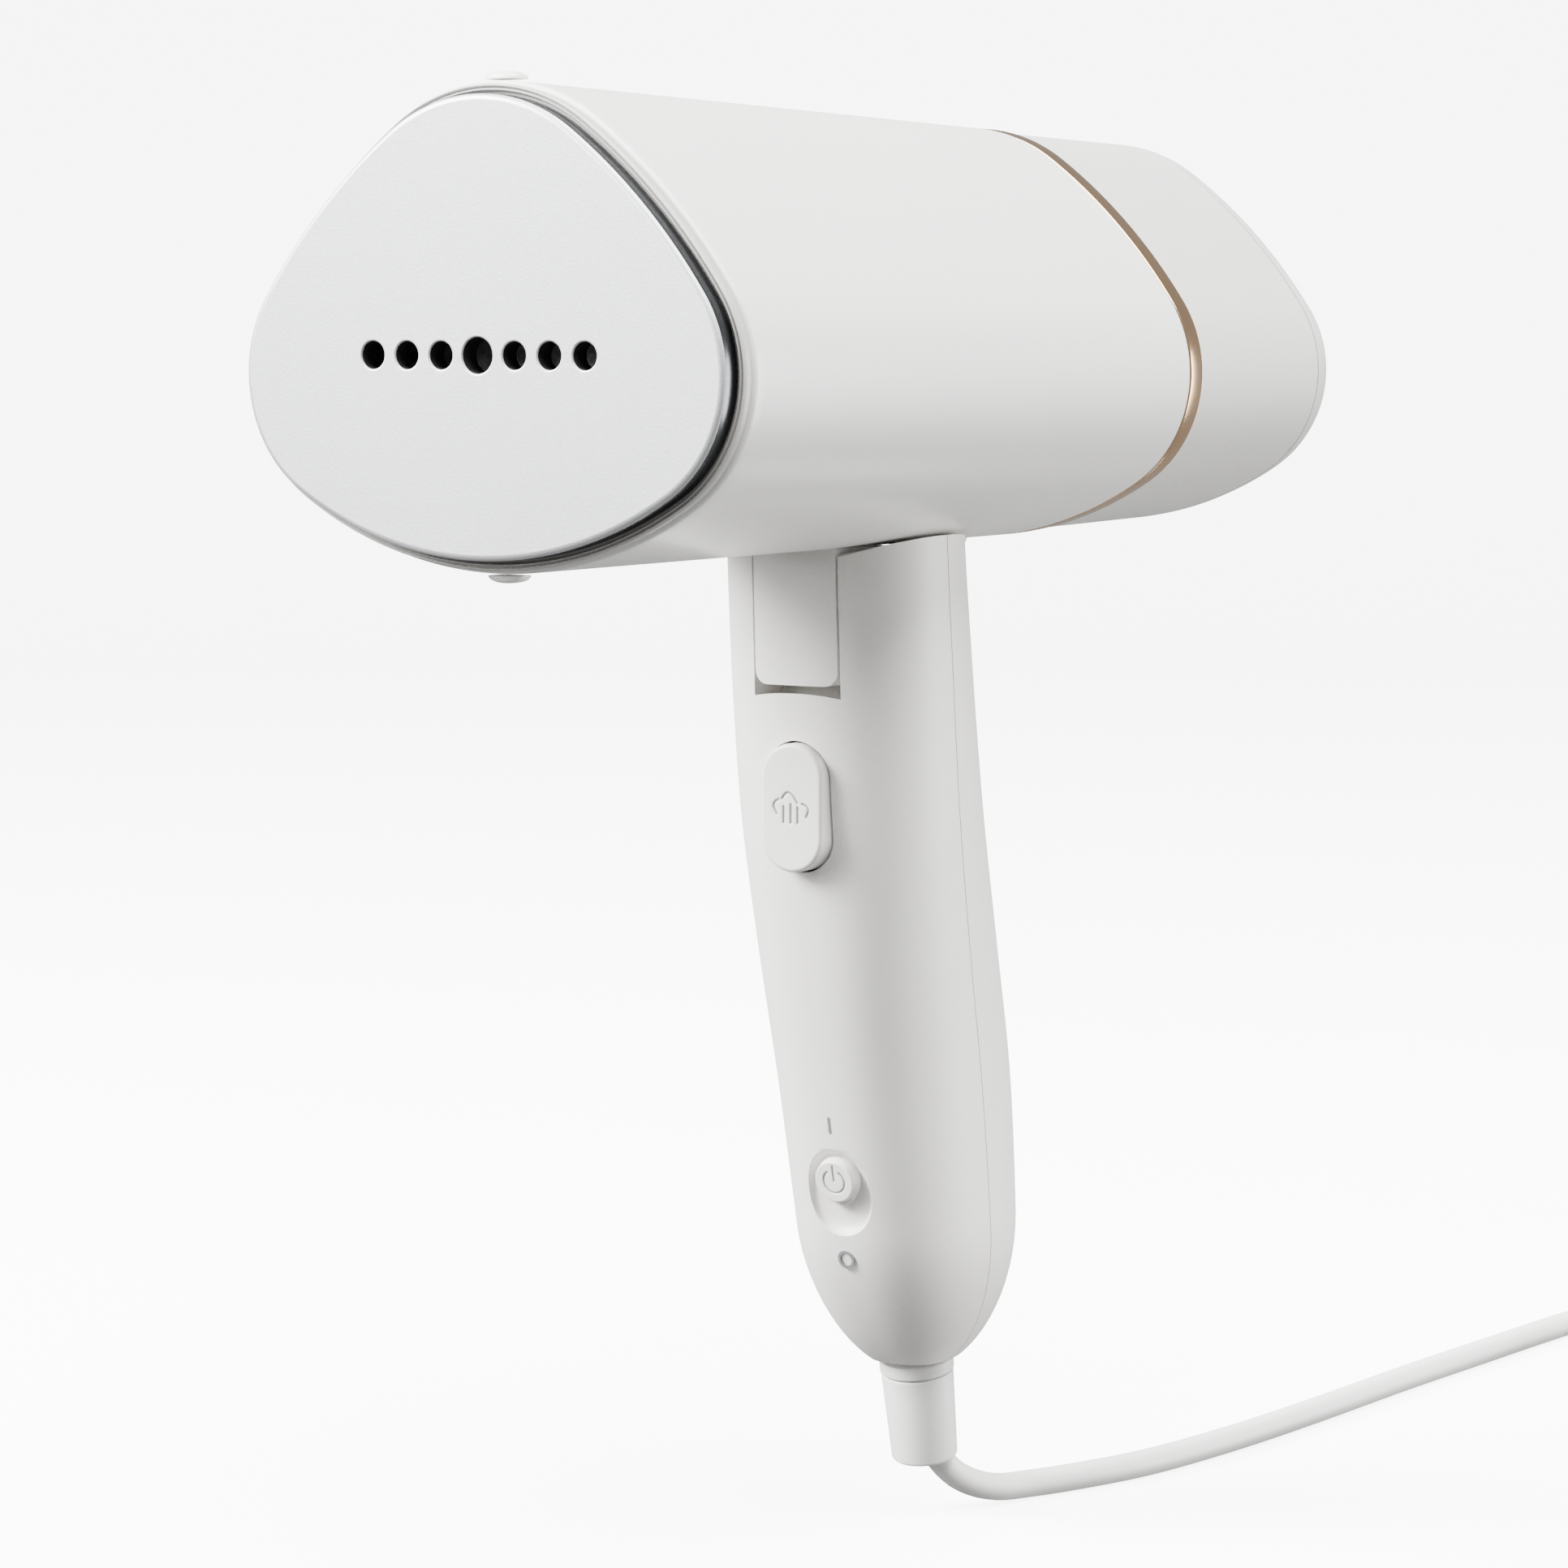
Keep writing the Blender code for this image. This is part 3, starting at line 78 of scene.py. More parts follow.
def newMaterial(name, base, roughness, metallic=0.0, **more):
    made = bpy.data.materials.new(name)
    made.use_nodes = True
    shader = made.node_tree.nodes["Principled BSDF"]
    shader.inputs["Base Color"].default_value = linear(base)
    shader.inputs["Roughness"].default_value = roughness
    shader.inputs["Metallic"].default_value = metallic
    for socket, value in more.items():
        shader.inputs[socket.replace("_", " ")].default_value = value
    return made, made.node_tree, shader


def addNode(tree, kind, settings=None, values=None, links=None):
    # one node with its settings, its socket values, and what feeds each of its sockets
    made = tree.nodes.new(kind)
    for key, value in (settings or {}).items():
        setattr(made, key, value)
    for key, value in (values or {}).items():
        made.inputs[key].default_value = value
    for key, source in (links or {}).items():
        tree.links.new(source, made.inputs[key])
    return made


def addGrain(tree, shader, grain, depth, tints=None, roughRange=None, wide=0.02):
    # grain of a given size in metres as bump and tint, and a broader drift of roughness
    place = addNode(tree, "ShaderNodeTexCoord").outputs["Object"]
    fine = addNode(tree, "ShaderNodeTexNoise", None, {"Scale": 1 / grain, "Detail": 3.0, "Roughness": 0.6},
                   {"Vector": place})
    bump = addNode(tree, "ShaderNodeBump", None, {"Strength": 1.0, "Distance": depth},
                   {"Height": fine.outputs["Fac"]})
    tree.links.new(bump.outputs["Normal"], shader.inputs["Normal"])
    drift = addNode(tree, "ShaderNodeTexNoise", None, {"Scale": 1 / wide, "Detail": 2.0}, {"Vector": place})
    if tints:
        blendFac = addNode(tree, "ShaderNodeMath", {"operation": "MULTIPLY_ADD"}, {1: 0.6, 2: 0.0},
                           {0: fine.outputs["Fac"]})
        ramp = addNode(tree, "ShaderNodeValToRGB", None, None, {"Fac": blendFac.outputs[0]})
        ramp.color_ramp.elements[0].color = linear(tints[0])
        ramp.color_ramp.elements[1].color = linear(tints[1])
        ramp.color_ramp.elements[0].position = 0.2
        ramp.color_ramp.elements[1].position = 0.5
        tree.links.new(ramp.outputs["Color"], shader.inputs["Base Color"])
    if roughRange:
        rough = addNode(tree, "ShaderNodeMapRange", None, {"To Min": roughRange[0], "To Max": roughRange[1]},
                        {"Value": drift.outputs["Fac"]})
        tree.links.new(rough.outputs["Result"], shader.inputs["Roughness"])
    return place, fine


# each finish: its name, colour, roughness and metallic, further sockets, then the grain that addGrain gives
finishes = {
    # ABS with pearl pigment, moulded glossy: soft broad highlights under a thin clear shine
    "pearl": (("pearlPlastic", "#EFEEEA", 0.34), {"Coat_Weight": 0.25, "Coat_Roughness": 0.16},
              (0.0004, 0.000002, ("#ECEBE7", "#F3F2EF"), (0.31, 0.37))),
    # ABS, moulded in a lightly sparked tool: satin
    "warm": (("warmPlastic", "#EDEBE7", 0.42), {},
             (0.0005, 0.000004, ("#EAE8E4", "#F0EEEA"), (0.39, 0.46))),
    # aluminium blasted with fine grit: grain of about a third of a millimetre, drawn a little coarse
    "plate": (("blastedAluminium", "#CFD0D2", 0.5, 0.75), {},
              (0.00038, 0.000030, ("#C8C9CB", "#D5D6D8"), (0.46, 0.54))),
    # the same aluminium, its side wall turned and left bright, painted dark as the shade it sits in under the
    # bezel
    "plateSide": (("shadedTurnedAluminium", "#5C5E61", 0.26, 1.0), {}, (0.0009, 0.000002, None, (0.20, 0.28))),
    # the holes' walls, near black
    "hole": (("nearBlackBore", "#0D0D0D", 0.8), {}, (0.0004, 0.000010, ("#0A0A0A", "#131313"), (0.74, 0.86))),
    # glass-filled polyamide, moulded satin: heat stays at the bezel
    "bezel": (("greyPolyamide", "#B5B4B1", 0.36), {},
              (0.0005, 0.000003, ("#B0AFAC", "#BBBAB7"), (0.33, 0.40))),
    # aluminium, polished and anodised champagne
    "champagne": (("champagneAluminium", "#D8B48C", 0.19, 1.0), {},
                  (0.0007, 0.0000015, None, (0.14, 0.21))),
    # polycarbonate with a frosted outer skin and fine sparkling pigment
    "frosted": (("frostedPolycarbonate", "#D6D5D2", 0.40), {"Coat_Weight": 0.15, "Coat_Roughness": 0.22},
                (0.00045, 0.000010, ("#CBCAC7", "#DFDEDB"), (0.36, 0.46))),
    # PVC flex jacket and its moulded sleeve: soft satin
    "jacket": (("pvcJacket", "#F0EFEC", 0.36), {},
               (0.0008, 0.000003, ("#EDECE9", "#F3F2EF"), (0.33, 0.41))),
    # moulded silicone, matt: the seals and the coil's strap
    "silicone": (("blackSilicone", "#1C1C1D", 0.7), {},
                 (0.0006, 0.000005, ("#181819", "#232324"), (0.64, 0.75))),
    # pad-printed ink, dark grey and nearly matt
    "ink": (("printInk", "#77787A", 0.5), {}, (0.0003, 0.000001, ("#727375", "#7E7F81"), (0.46, 0.55))),
    # stainless steel, drawn and turned: soft bright reflections
    "steel": (("stainlessSteel", "#C4C4C4", 0.28, 1.0), {},
              (0.0006, 0.000002, ("#BFBFBF", "#CBCBCB"), (0.24, 0.33))),
    # aluminium as cast, with a coarse grain of about a millimetre
    "cast": (("castAluminium", "#A9AAAC", 0.55, 1.0), {},
             (0.0012, 0.00003, ("#9FA0A2", "#B4B5B7"), (0.5, 0.62))),
    # glass-epoxy circuit board under green lacquer
    "board": (("circuitLaminate", "#2F6B45", 0.45), {},
              (0.0010, 0.000004, ("#2B6340", "#35754C"), (0.40, 0.50))),
    # polyamide, moulded satin black
    "black": (("blackPolyamide", "#29292A", 0.45), {},
              (0.0006, 0.000004, ("#252526", "#303031"), (0.41, 0.50))),
    # copper wire under clear enamel
    "copper": (("enamelledCopper", "#B87348", 0.32, 1.0), {},
               (0.0005, 0.00001, ("#AB6A41", "#C27C4F"), (0.28, 0.37))),
    # extruded silicone hose, milky
    "hose": (("clearSilicone", "#DAD9D4", 0.45), {},
             (0.0008, 0.000003, ("#D5D4CF", "#E0DFDA"), (0.41, 0.50))),
}


def makeMaterials():
    looks = {}
    for key, (row, further, grain) in finishes.items():
        made, tree, shader = newMaterial(*row, **further)
        addGrain(tree, shader, *grain)
        looks[key] = made
    # the same satin ABS, with painted shade in its grooves: its strength comes from the piece itself
    made, tree, shader = newMaterial("controlPlastic", "#EDEBE7", 0.40)
    addGrain(tree, shader, 0.0005, 0.000003, ("#EAE8E4", "#F0EEEA"), (0.37, 0.44))
    plain = shader.inputs["Base Color"].links[0].from_socket
    groove = addNode(tree, "ShaderNodeAttribute", {"attribute_name": "grooveShade"})
    # a darker grey mixed in by the groove's strength: painted shade in the grooves
    shade = addNode(tree, "ShaderNodeMix", {"data_type": "RGBA"}, {7: linear("#8C8A86")},
                    {0: groove.outputs["Fac"], 6: plain})
    tree.links.new(shade.outputs[2], shader.inputs["Base Color"])
    looks["control"] = made
    return looks


looks = makeMaterials()
print("materials made:", len(looks))


# meshes from numpy grids
def gridFaces(rows, columns, joinRows=False, joinColumns=True):
    # quad at every cell of a grid of points numbered row by row; a joined side wraps to its start
    i = np.arange(rows if joinRows else rows - 1)[:, None]
    j = np.arange(columns if joinColumns else columns - 1)[None, :]
    below, beside = (i + 1) % rows, (j + 1) % columns
    corners = (i * columns + j, i * columns + beside, below * columns + beside, below * columns + j)
    return np.stack([np.broadcast_to(c, (i.size, j.size)) for c in corners], -1).reshape(-1, 4)


def makeMesh(name, points, faces, look, angle=40):
    mesh = bpy.data.meshes.new(name)
    mesh.from_pydata(np.asarray(points).reshape(-1, 3).tolist(), [], faces)
    work = bmesh.new()
    work.from_mesh(mesh)
    bmesh.ops.recalc_face_normals(work, faces=work.faces)
    work.to_mesh(mesh)
    work.free()
    if look:
        mesh.materials.append(look)
    mesh.shade_smooth()
    mesh.set_sharp_from_angle(angle=math.radians(angle))
    made = bpy.data.objects.new(name, mesh)
    bpy.context.scene.collection.objects.link(made)
    return made


def closedSkin(name, rings, look=None, hollow=False, angle=40):
    # skin over rings of points: a hollow one joins its last ring to its first, any other has flat ends
    rings = np.asarray(rings, float)
    rows, columns = rings.shape[:2]
    faces = gridFaces(rows, columns, joinRows=hollow).tolist()
    if not hollow:
        faces += [list(range(columns)), list(range((rows - 1) * columns, rows * columns))]
    return makeMesh(name, rings, faces, look, angle)


def turnedSkin(name, profile, matrix, look=None, steps=96, hollow=False, angle=40):
    # profile of (radius, height) pairs carried round local z: x = r cos t, y = r sin t, z = height
    profile = np.asarray(profile, float)
    turn = np.linspace(0, 2 * np.pi, steps, endpoint=False)
    local = np.stack(np.broadcast_arrays(profile[:, :1] * np.cos(turn), profile[:, :1] * np.sin(turn),
                                         profile[:, 1:]), -1)
    return closedSkin(name, carry(local, matrix), look, hollow, angle)


def carry(points, matrix):
    spin = np.array(matrix.to_3x3())
    return points @ spin.T + np.array(matrix.translation)


def combine(piece, operation, *tools, solver="EXACT", angle=40):
    for tool in tools:
        change = piece.modifiers.new(operation.lower(), "BOOLEAN")
        change.operation, change.object, change.solver = operation, tool, solver
        depsgraph = bpy.context.evaluated_depsgraph_get()
        fresh = bpy.data.meshes.new_from_object(piece.evaluated_get(depsgraph))
        piece.modifiers.clear()
        piece.data = fresh
        bpy.data.objects.remove(tool)
    piece.data.shade_smooth()
    piece.data.set_sharp_from_angle(angle=math.radians(angle))
    return piece


def boxTool(low, high, matrix=Matrix.Identity(4)):
    low, high = np.array(low), np.array(high)
    corners = np.array([[(x, y, z) for x, y in ((0, 0), (1, 0), (1, 1), (0, 1))] for z in (0, 1)])
    return closedSkin("tool", carry(low + corners * (high - low), matrix))


def settle(piece, body, slotName, *replaced):
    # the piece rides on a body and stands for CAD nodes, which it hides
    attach(piece, body)
    if replaced:
        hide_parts(*replaced)
    return piece


# flex: leaves the foot downwards, turns to lie flat, runs back and is wound into a coil with its plug
flex = {"radius": 0.00265, "floorZ": -0.1090, "exitY": 0.0144, "footZ": -0.0800, "tilt": 9.8,
        "sleeve": 0.0205, "gripped": 0.0100, "coilCentre": (0.0895, 0.2450), "outRadius": 0.0415,
        "pitch": 0.00536, "first": 170.0, "leave": -14.0, "turns": 7.5111, "turnBack": 3.745, "hold": 0.075,
        "climb": 0.40, "layer": 0.0054, "perTurn": 16, "clear": 0.0239}
exitMatrix = (Matrix.Translation((0, flex["exitY"], flex["footZ"]))
              @ Matrix.Rotation(math.radians(flex["tilt"]), 4, "X"))


def exitPoint(down):
    return np.array(exitMatrix @ Vector((0, 0, -down)))


def smoothStep(share):
    share = np.clip(share, 0, 1)
    return share * share * (3 - 2 * share)


def coilPoints(perTurn):
    # two flat spirals, one on the other: the angle falls evenly, and the radius follows the distance from
    # the turn where the winding goes back outwards, held a little about it while the flex climbs a layer
    turn = np.linspace(0, flex["turns"], int(flex["turns"] * perTurn) + 1)
    away = turn - flex["turnBack"]
    last = flex["turns"] - flex["turnBack"] - flex["hold"]
    radius = flex["outRadius"] + flex["pitch"] * (np.maximum(np.abs(away) - flex["hold"], 0) - last)
    rise = flex["layer"] * smoothStep(away / flex["climb"] + 0.5)
    angle = math.radians(flex["first"]) - 2 * math.pi * turn
    x, y = flex["coilCentre"]
    return np.stack([x + radius * np.cos(angle), y + radius * np.sin(angle), flex["floorZ"] + rise], 1)


def flexPoints(perTurn):
    flat = flex["floorZ"]
    start = flex["sleeve"] - flex["gripped"]
    lead = [exitPoint(start), exitPoint(start + 0.0035), (0.0013, 0.0182, -0.0985), (0.0040, 0.0228, -0.1045),
            (0.0075, 0.0300, -0.1080), (0.0112, 0.0395, flat), (0.0175, 0.0520, flat), (0.0225, 0.0650, flat),
            (0.0265, 0.0820, flat), (0.0300, 0.1030, flat), (0.0330, 0.1280, flat), (0.0360, 0.1580, flat),
            (0.0400, 0.1900, flat), (0.0447, 0.2260, flat), (0.0472, 0.2390, flat)]
    coil = coilPoints(perTurn)
    # the tail runs straight off the coil, comes down to the floor, then rises to the plug
    turn = math.radians(flex["leave"])
    away = np.array([math.sin(turn), -math.cos(turn), 0.0])
    along = np.array([0.005, 0.010, 0.015, 0.020, 0.025, 0.010 + flex["clear"], 0.020 + flex["clear"],
                      0.030 + flex["clear"]])
    tail = coil[-1] + along[:, None] * away
    tail[:, 2] = flat + flex["layer"] * (1 - smoothStep(along / 0.030))
    tail[-2:, 2] += (0.0012, 0.0040)
    return np.concatenate([np.array(lead), coil, tail])


def makeFlex():
    points = flexPoints(flex["perTurn"])
    data = bpy.data.curves.new("mainsFlex", "CURVE")
    data.dimensions = "3D"
    data.bevel_depth = flex["radius"]
    data.bevel_resolution = 7
    data.resolution_u = 6
    data.use_fill_caps = True
    spline = data.splines.new("BEZIER")
    spline.bezier_points.add(len(points) - 1)
    # handles lie a third of the way along the line between the points on either side
    ahead = np.diff(points, axis=0)
    span = np.linalg.norm(ahead, axis=1)
    middle = points[2:] - points[:-2]
    middle /= np.linalg.norm(middle, axis=1)[:, None]
    direction = np.concatenate([[ahead[0] / span[0]], middle, [ahead[-1] / span[-1]]])
    before = np.concatenate([[span[0]], span])[:, None] / 3
    after = np.concatenate([span, [span[-1]]])[:, None] / 3
    for key, value in (("co", points), ("handle_left", points - direction * before),
                       ("handle_right", points + direction * after)):
        spline.bezier_points.foreach_set(key, value.ravel())
    data.materials.append(looks["jacket"])
    made = bpy.data.objects.new("mainsFlex", data)
    bpy.context.scene.collection.objects.link(made)
    settle(made, "handle", "pale_rubber", "flex_lead", "flex_coil", "flex_tail")
    dense = np.diff(flexPoints(400), axis=0)
    return made, points, float(np.linalg.norm(dense, axis=1).sum())


mainsFlex, flexLine, flexLength = makeFlex()
print("flex laid, about", round(flexLength, 3), "m")


# moulded sleeve and collar where the flex leaves the foot
sleeve = {"top": 0.0069, "mouth": 0.0063, "neck": 0.0048, "collar": 0.0028, "collarRadius": 0.0071,
          "gap": 0.0003}


def makeSleeve():
    bore, low, gap = flex["radius"] + sleeve["gap"], -flex["sleeve"], sleeve["gap"]
    top = -sleeve["collar"] - gap
    round_ = np.radians(np.linspace(0, 90, 7))
    lip = 0.0007
    mouth = np.stack([sleeve["mouth"] - lip + lip * np.cos(round_), low + lip - lip * np.sin(round_)], 1)
    edge = 0.0004
    head = np.stack([sleeve["top"] - edge + edge * np.sin(round_), top - edge + edge * np.cos(round_)], 1)
    share = np.linspace(0, 1, 9)[1:]
    funnel = np.stack([bore + (sleeve["mouth"] - lip - 0.0002 - bore) * (1 - share) ** 1.5,
                       low + flex["gripped"] * share], 1)
    profile = np.concatenate([[(bore, 0.0075), (0.0075, 0.0075), (0.0075, 0.0055), (sleeve["neck"], 0.0055),
                               (sleeve["neck"], top)], head, mouth, funnel])
    made = turnedSkin("flexSleeve", profile, exitMatrix, looks["jacket"], hollow=True)
    settle(made, "handle", "pale_rubber", "strain_relief")
    inner, radius, low = sleeve["neck"] + gap, sleeve["collarRadius"], -sleeve["collar"]
    upper = np.stack([radius - edge + edge * np.sin(round_), -gap - edge + edge * np.cos(round_)], 1)
    lower = np.stack([radius - edge + edge * np.cos(round_), low + edge - edge * np.sin(round_)], 1)
    collar = turnedSkin("sleeveCollar", np.concatenate([[(inner, -gap)], upper, lower, [(inner, low)]]),
                        exitMatrix, looks["jacket"], hollow=True)
    settle(collar, "handle", "pale_rubber", "flex_collar")
    return made


# round two-pin plug, with rings of grip ribs behind its flange
plug = {"radius": 0.0178, "length": 0.040, "pin": 0.0024, "pinLength": 0.019, "pitch": 0.019, "gap": 0.0003}


def makePlug():
    end, before = flexLine[-1], flexLine[-2]
    axis = Vector(end - before).normalized()
    base = Vector(end) + axis * plug["gap"]
    matrix = Matrix.Translation(base) @ axis.to_track_quat("Z", "Y").to_matrix().to_4x4()
    length, radius = plug["length"], plug["radius"]
    # the grip widens smoothly towards the flange, and shallow ribs ring it
    along = np.linspace(0.0, length - 0.009, 70)
    share = along / along[-1]
    ribbed = (np.cos(share * 2 * np.pi * 6) < -0.2) & (share > 0.18) & (share < 0.86)
    width = 0.0050 + (0.0135 - 0.0050) * smoothStep(share) - 0.00035 * ribbed
    corner = np.radians(np.linspace(0, 90, 6))
    soft = 0.0010
    back = np.stack([radius - soft + soft * np.sin(corner),
                     length - 0.0075 + soft - soft * np.cos(corner)], 1)
    front = np.stack([radius - soft + soft * np.cos(corner), length - soft + soft * np.sin(corner)], 1)
    profile = np.concatenate([np.stack([width, along], 1), back, front])
    body = turnedSkin("plugBody", profile, matrix, looks["jacket"], steps=80)
    settle(body, "handle", "pale_rubber", "plug_body")
    face = base + axis * (length + plug["gap"])
    across = Vector((0, 0, 1)).cross(axis).normalized()
    pins = []
    tip = np.radians(np.linspace(0, 80, 7))
    pin, bend = plug["pin"], 0.0012
    for side, way in (("Left", -1), ("Right", 1)):
        foot = face + across * way * plug["pitch"] / 2
        rounded = np.stack([pin - bend + bend * np.cos(tip),
                            plug["pinLength"] - bend + bend * np.sin(tip)], 1)
        place = Matrix.Translation(foot) @ matrix.to_3x3().to_4x4()
        made = turnedSkin("plugPin" + side, np.concatenate([[(pin, 0)], rounded]), place,
                          looks["steel"], steps=40)
        pins.append(settle(made, "handle", "steel", "plug_pin_" + side.lower()))
    return body, pins


# strap that holds the coil together, round all its turns at the back
tie = {"angle": 62.0, "width": 0.0060, "thick": 0.0006, "inner": 0.0190, "outer": 0.0444, "height": 0.0109}


def makeTie():
    # flat loop: a superellipse about the turns' section, carried a little way along the coil
    turn = np.linspace(0, 2 * np.pi, 72, endpoint=False)
    c, s = np.cos(turn), np.sin(turn)
    middle, half = (tie["inner"] + tie["outer"]) / 2, (tie["outer"] - tie["inner"]) / 2 + 0.0002
    floor = flex["floorZ"] - flex["radius"]
    rings = []
    for side, inset in ((-1, 0.0), (1, 0.0), (1, tie["thick"]), (-1, tie["thick"])):
        radial = middle + np.sign(c) * np.abs(c) ** (2 / 5) * (half - inset)
        up = floor + tie["height"] / 2 + np.sign(s) * np.abs(s) ** (2 / 5) * (tie["height"] / 2 - inset)
        rings.append(np.stack([radial, np.full_like(c, side * tie["width"] / 2), up], 1))
    spin = Matrix.Translation((*flex["coilCentre"], 0)) @ Matrix.Rotation(math.radians(tie["angle"]), 4, "Z")
    made = closedSkin("coilTie", carry(np.array(rings), spin), looks["silicone"], hollow=True)
    return settle(made, "handle", "dark_rubber")


flexSleeve = makeSleeve()
plugBody, plugPins = makePlug()
coilTie = makeTie()
print("sleeve, plug and tie made")


# the outline that the whole head follows
outline = {"width": 0.0919, "height": 0.0726, "turns": (0.0, 35.9, 55.9, 147.5, 180.0),
           "radii": (0.0292, 0.1037, 0.0219), "rowZ": 0.110, "top": 0.0406, "steps": 120}


def headOutline():
    # four arcs a side, each tangent to the next: a point is where the last arc ended plus R times the
    # change in (sin t, cos t); the half is stretched to width and height, then mirrored
    turn = np.radians(outline["turns"])
    reach = sum(r * (math.sin(b) - math.sin(a)) for r, a, b in zip(outline["radii"], turn, turn[1:]))
    radius = np.array([*outline["radii"], reach / math.sin(turn[3])])
    lengths = radius * np.diff(turn)
    starts = np.concatenate([[0], np.cumsum(lengths)])
    along = np.linspace(0, starts[-1], outline["steps"] + 1)
    arc = np.clip(np.searchsorted(starts, along, side="right") - 1, 0, 3)
    t = turn[arc] + (along - starts[arc]) / radius[arc]
    stepX, stepZ = radius * np.diff(np.sin(turn)), radius * np.diff(np.cos(turn))
    fromX = np.concatenate([[0], np.cumsum(stepX)])[arc]
    fromZ = np.concatenate([[0], np.cumsum(stepZ)])[arc]
    x = fromX + radius[arc] * (np.sin(t) - np.sin(turn[arc]))
    z = fromZ + radius[arc] * (np.cos(t) - np.cos(turn[arc]))
    wide, tall = outline["width"] / 2 / x.max(), outline["height"] / -z.min()
    nx, nz = np.sin(t) / wide, np.cos(t) / tall
    size = np.hypot(nx, nz)
    half = np.stack([x * wide, z * tall, nx / size, nz / size], 1)
    half[[0, -1], 0] = half[[0, -1], 2] = 0
    other = half[-2:0:-1] * np.array([-1, 1, -1, 1])
    return np.concatenate([half, other])


headLine = headOutline()


def headRings(rows):
    # rows of (y, offset, drop): the outline moved out along its own normals, in the upright plane at y
    rows = np.asarray([(*row, 0.0)[:3] for row in rows], float)
    x, z, nx, nz = headLine.T
    offset = rows[:, 1:2]
    return np.stack(np.broadcast_arrays(x + nx * offset, rows[:, :1],
                                        outline["rowZ"] + outline["top"] - rows[:, 2:] + z + nz * offset), -1)


def roundRows(y, offset, radius, start, end, drop=0.0, steps=6):
    # quarter round in the (y, offset) plane about a centre
    turn = np.radians(np.linspace(start, end, steps))
    return [(y + radius * math.cos(t), offset + radius * math.sin(t), drop) for t in turn]


# steam plate with its row of steam holes
plate = {"faceY": -0.126, "thick": 0.004, "edge": 0.0010, "holes": 7, "middleHole": 0.00295, "hole": 0.00228,
         "middlePitch": 0.0072, "pitch": 0.0068}


def makePlate():
    y, edge = plate["faceY"], plate["edge"]
    rows = [(y, -0.0004), *roundRows(y + edge, 0.0, edge, 180, 90), (y + plate["thick"], edge)]
    made = closedSkin("steamPlate", headRings(rows), looks["plate"])
    side = plate["holes"] // 2
    for i in range(-side, side + 1):
        away = 0.0 if i == 0 else math.copysign(plate["middlePitch"] + (abs(i) - 1) * plate["pitch"], i)
        radius = plate["middleHole"] if i == 0 else plate["hole"]
        # each hole opens in a small rounded lip
        lip = np.radians(np.linspace(0, 90, 6))
        rim = np.stack([radius + 0.0003 - 0.0003 * np.sin(lip), 0.0003 - 0.0003 * np.cos(lip)], 1)
        profile = np.concatenate([[(radius + 0.0003, -0.002)], rim, [(radius, 0.008)]])
        spin = Matrix.Translation((away, y, outline["rowZ"])) @ Matrix.Rotation(math.radians(-90), 4, "X")
        combine(made, "DIFFERENCE", turnedSkin("tool", profile, spin, steps=56))
    made.data.materials.append(looks["plateSide"])
    # the wall behind the rounded rim takes the turned finish, painted dark as shade under the bezel
    centres = np.zeros(len(made.data.polygons) * 3)
    made.data.polygons.foreach_get("center", centres)
    centres = centres.reshape(-1, 3)
    inside = np.abs(centres[:, 2] - outline["rowZ"]) < 0.004
    bore = inside & (np.abs(centres[:, 0]) < 0.026) & (centres[:, 1] > y + 0.0004)
    wall = (centres[:, 1] > y + 0.62 * edge) & ~(inside & (np.abs(centres[:, 0]) < 0.026))
    made.data.materials.append(looks["hole"])
    made.data.polygons.foreach_set("material_index", wall.astype(np.int32) + 2 * bore.astype(np.int32))
    # the blasted face is flat, so it keeps one normal from hole to rim
    facing = np.zeros(len(made.data.polygons) * 3)
    made.data.polygons.foreach_get("normal", facing)
    made.data.polygons.foreach_set("use_smooth", facing.reshape(-1, 3)[:, 1] > -0.9995)
    return settle(made, "head", "blasted_plate", "steam_plate")


# bezel between plate and housing, ribbed
bezel = {"lip": 0.0024, "thick": 0.0020, "run": 0.0004, "gap": 0.0003}
housing = {"wall": 0.0022, "frontOffset": 0.0033, "rearOffset": 0.0021, "drop": 0.0011, "length": 0.1515,
           "lip": 0.0011}
housingY = plate["faceY"] + plate["edge"] + bezel["lip"] + bezel["thick"]
housingEnd = housingY + housing["length"]


def makeBezel():
    front = plate["faceY"] + plate["edge"] + bezel["lip"]
    inner, outer = plate["edge"] + bezel["run"], housing["frontOffset"] - 0.0006
    # two raised ribs with a groove between them: the lip's height follows a squared cosine across it
    across = np.linspace(0, 1, 25)
    height = 0.00055 * (0.5 - 0.5 * np.cos(across * 4 * np.pi)) ** 0.6
    ribs = [(front + 0.00055 - h, inner + (outer - inner) * a, 0.0) for a, h in zip(across, height)]
    back, skirt = housingY - bezel["gap"], housing["frontOffset"] - housing["wall"] - bezel["gap"]
    shelf = plate["faceY"] + plate["thick"] + bezel["gap"]
    rows = [*ribs, (back, outer), (back, skirt), (housingY + 0.008, skirt - 0.0002),
            (housingY + 0.008, skirt - 0.0012), (shelf, skirt - 0.0012), (shelf, inner)]
    made = closedSkin("frontBezel", headRings(rows), looks["bezel"], hollow=True)
    return settle(made, "head", "grey_plastic", "front_bezel")


def housingRow(y, grow=0.0):
    share = (y - housingY) / housing["length"]
    return (y, housing["frontOffset"] + (housing["rearOffset"] - housing["frontOffset"]) * share + grow,
            housing["drop"] * share)


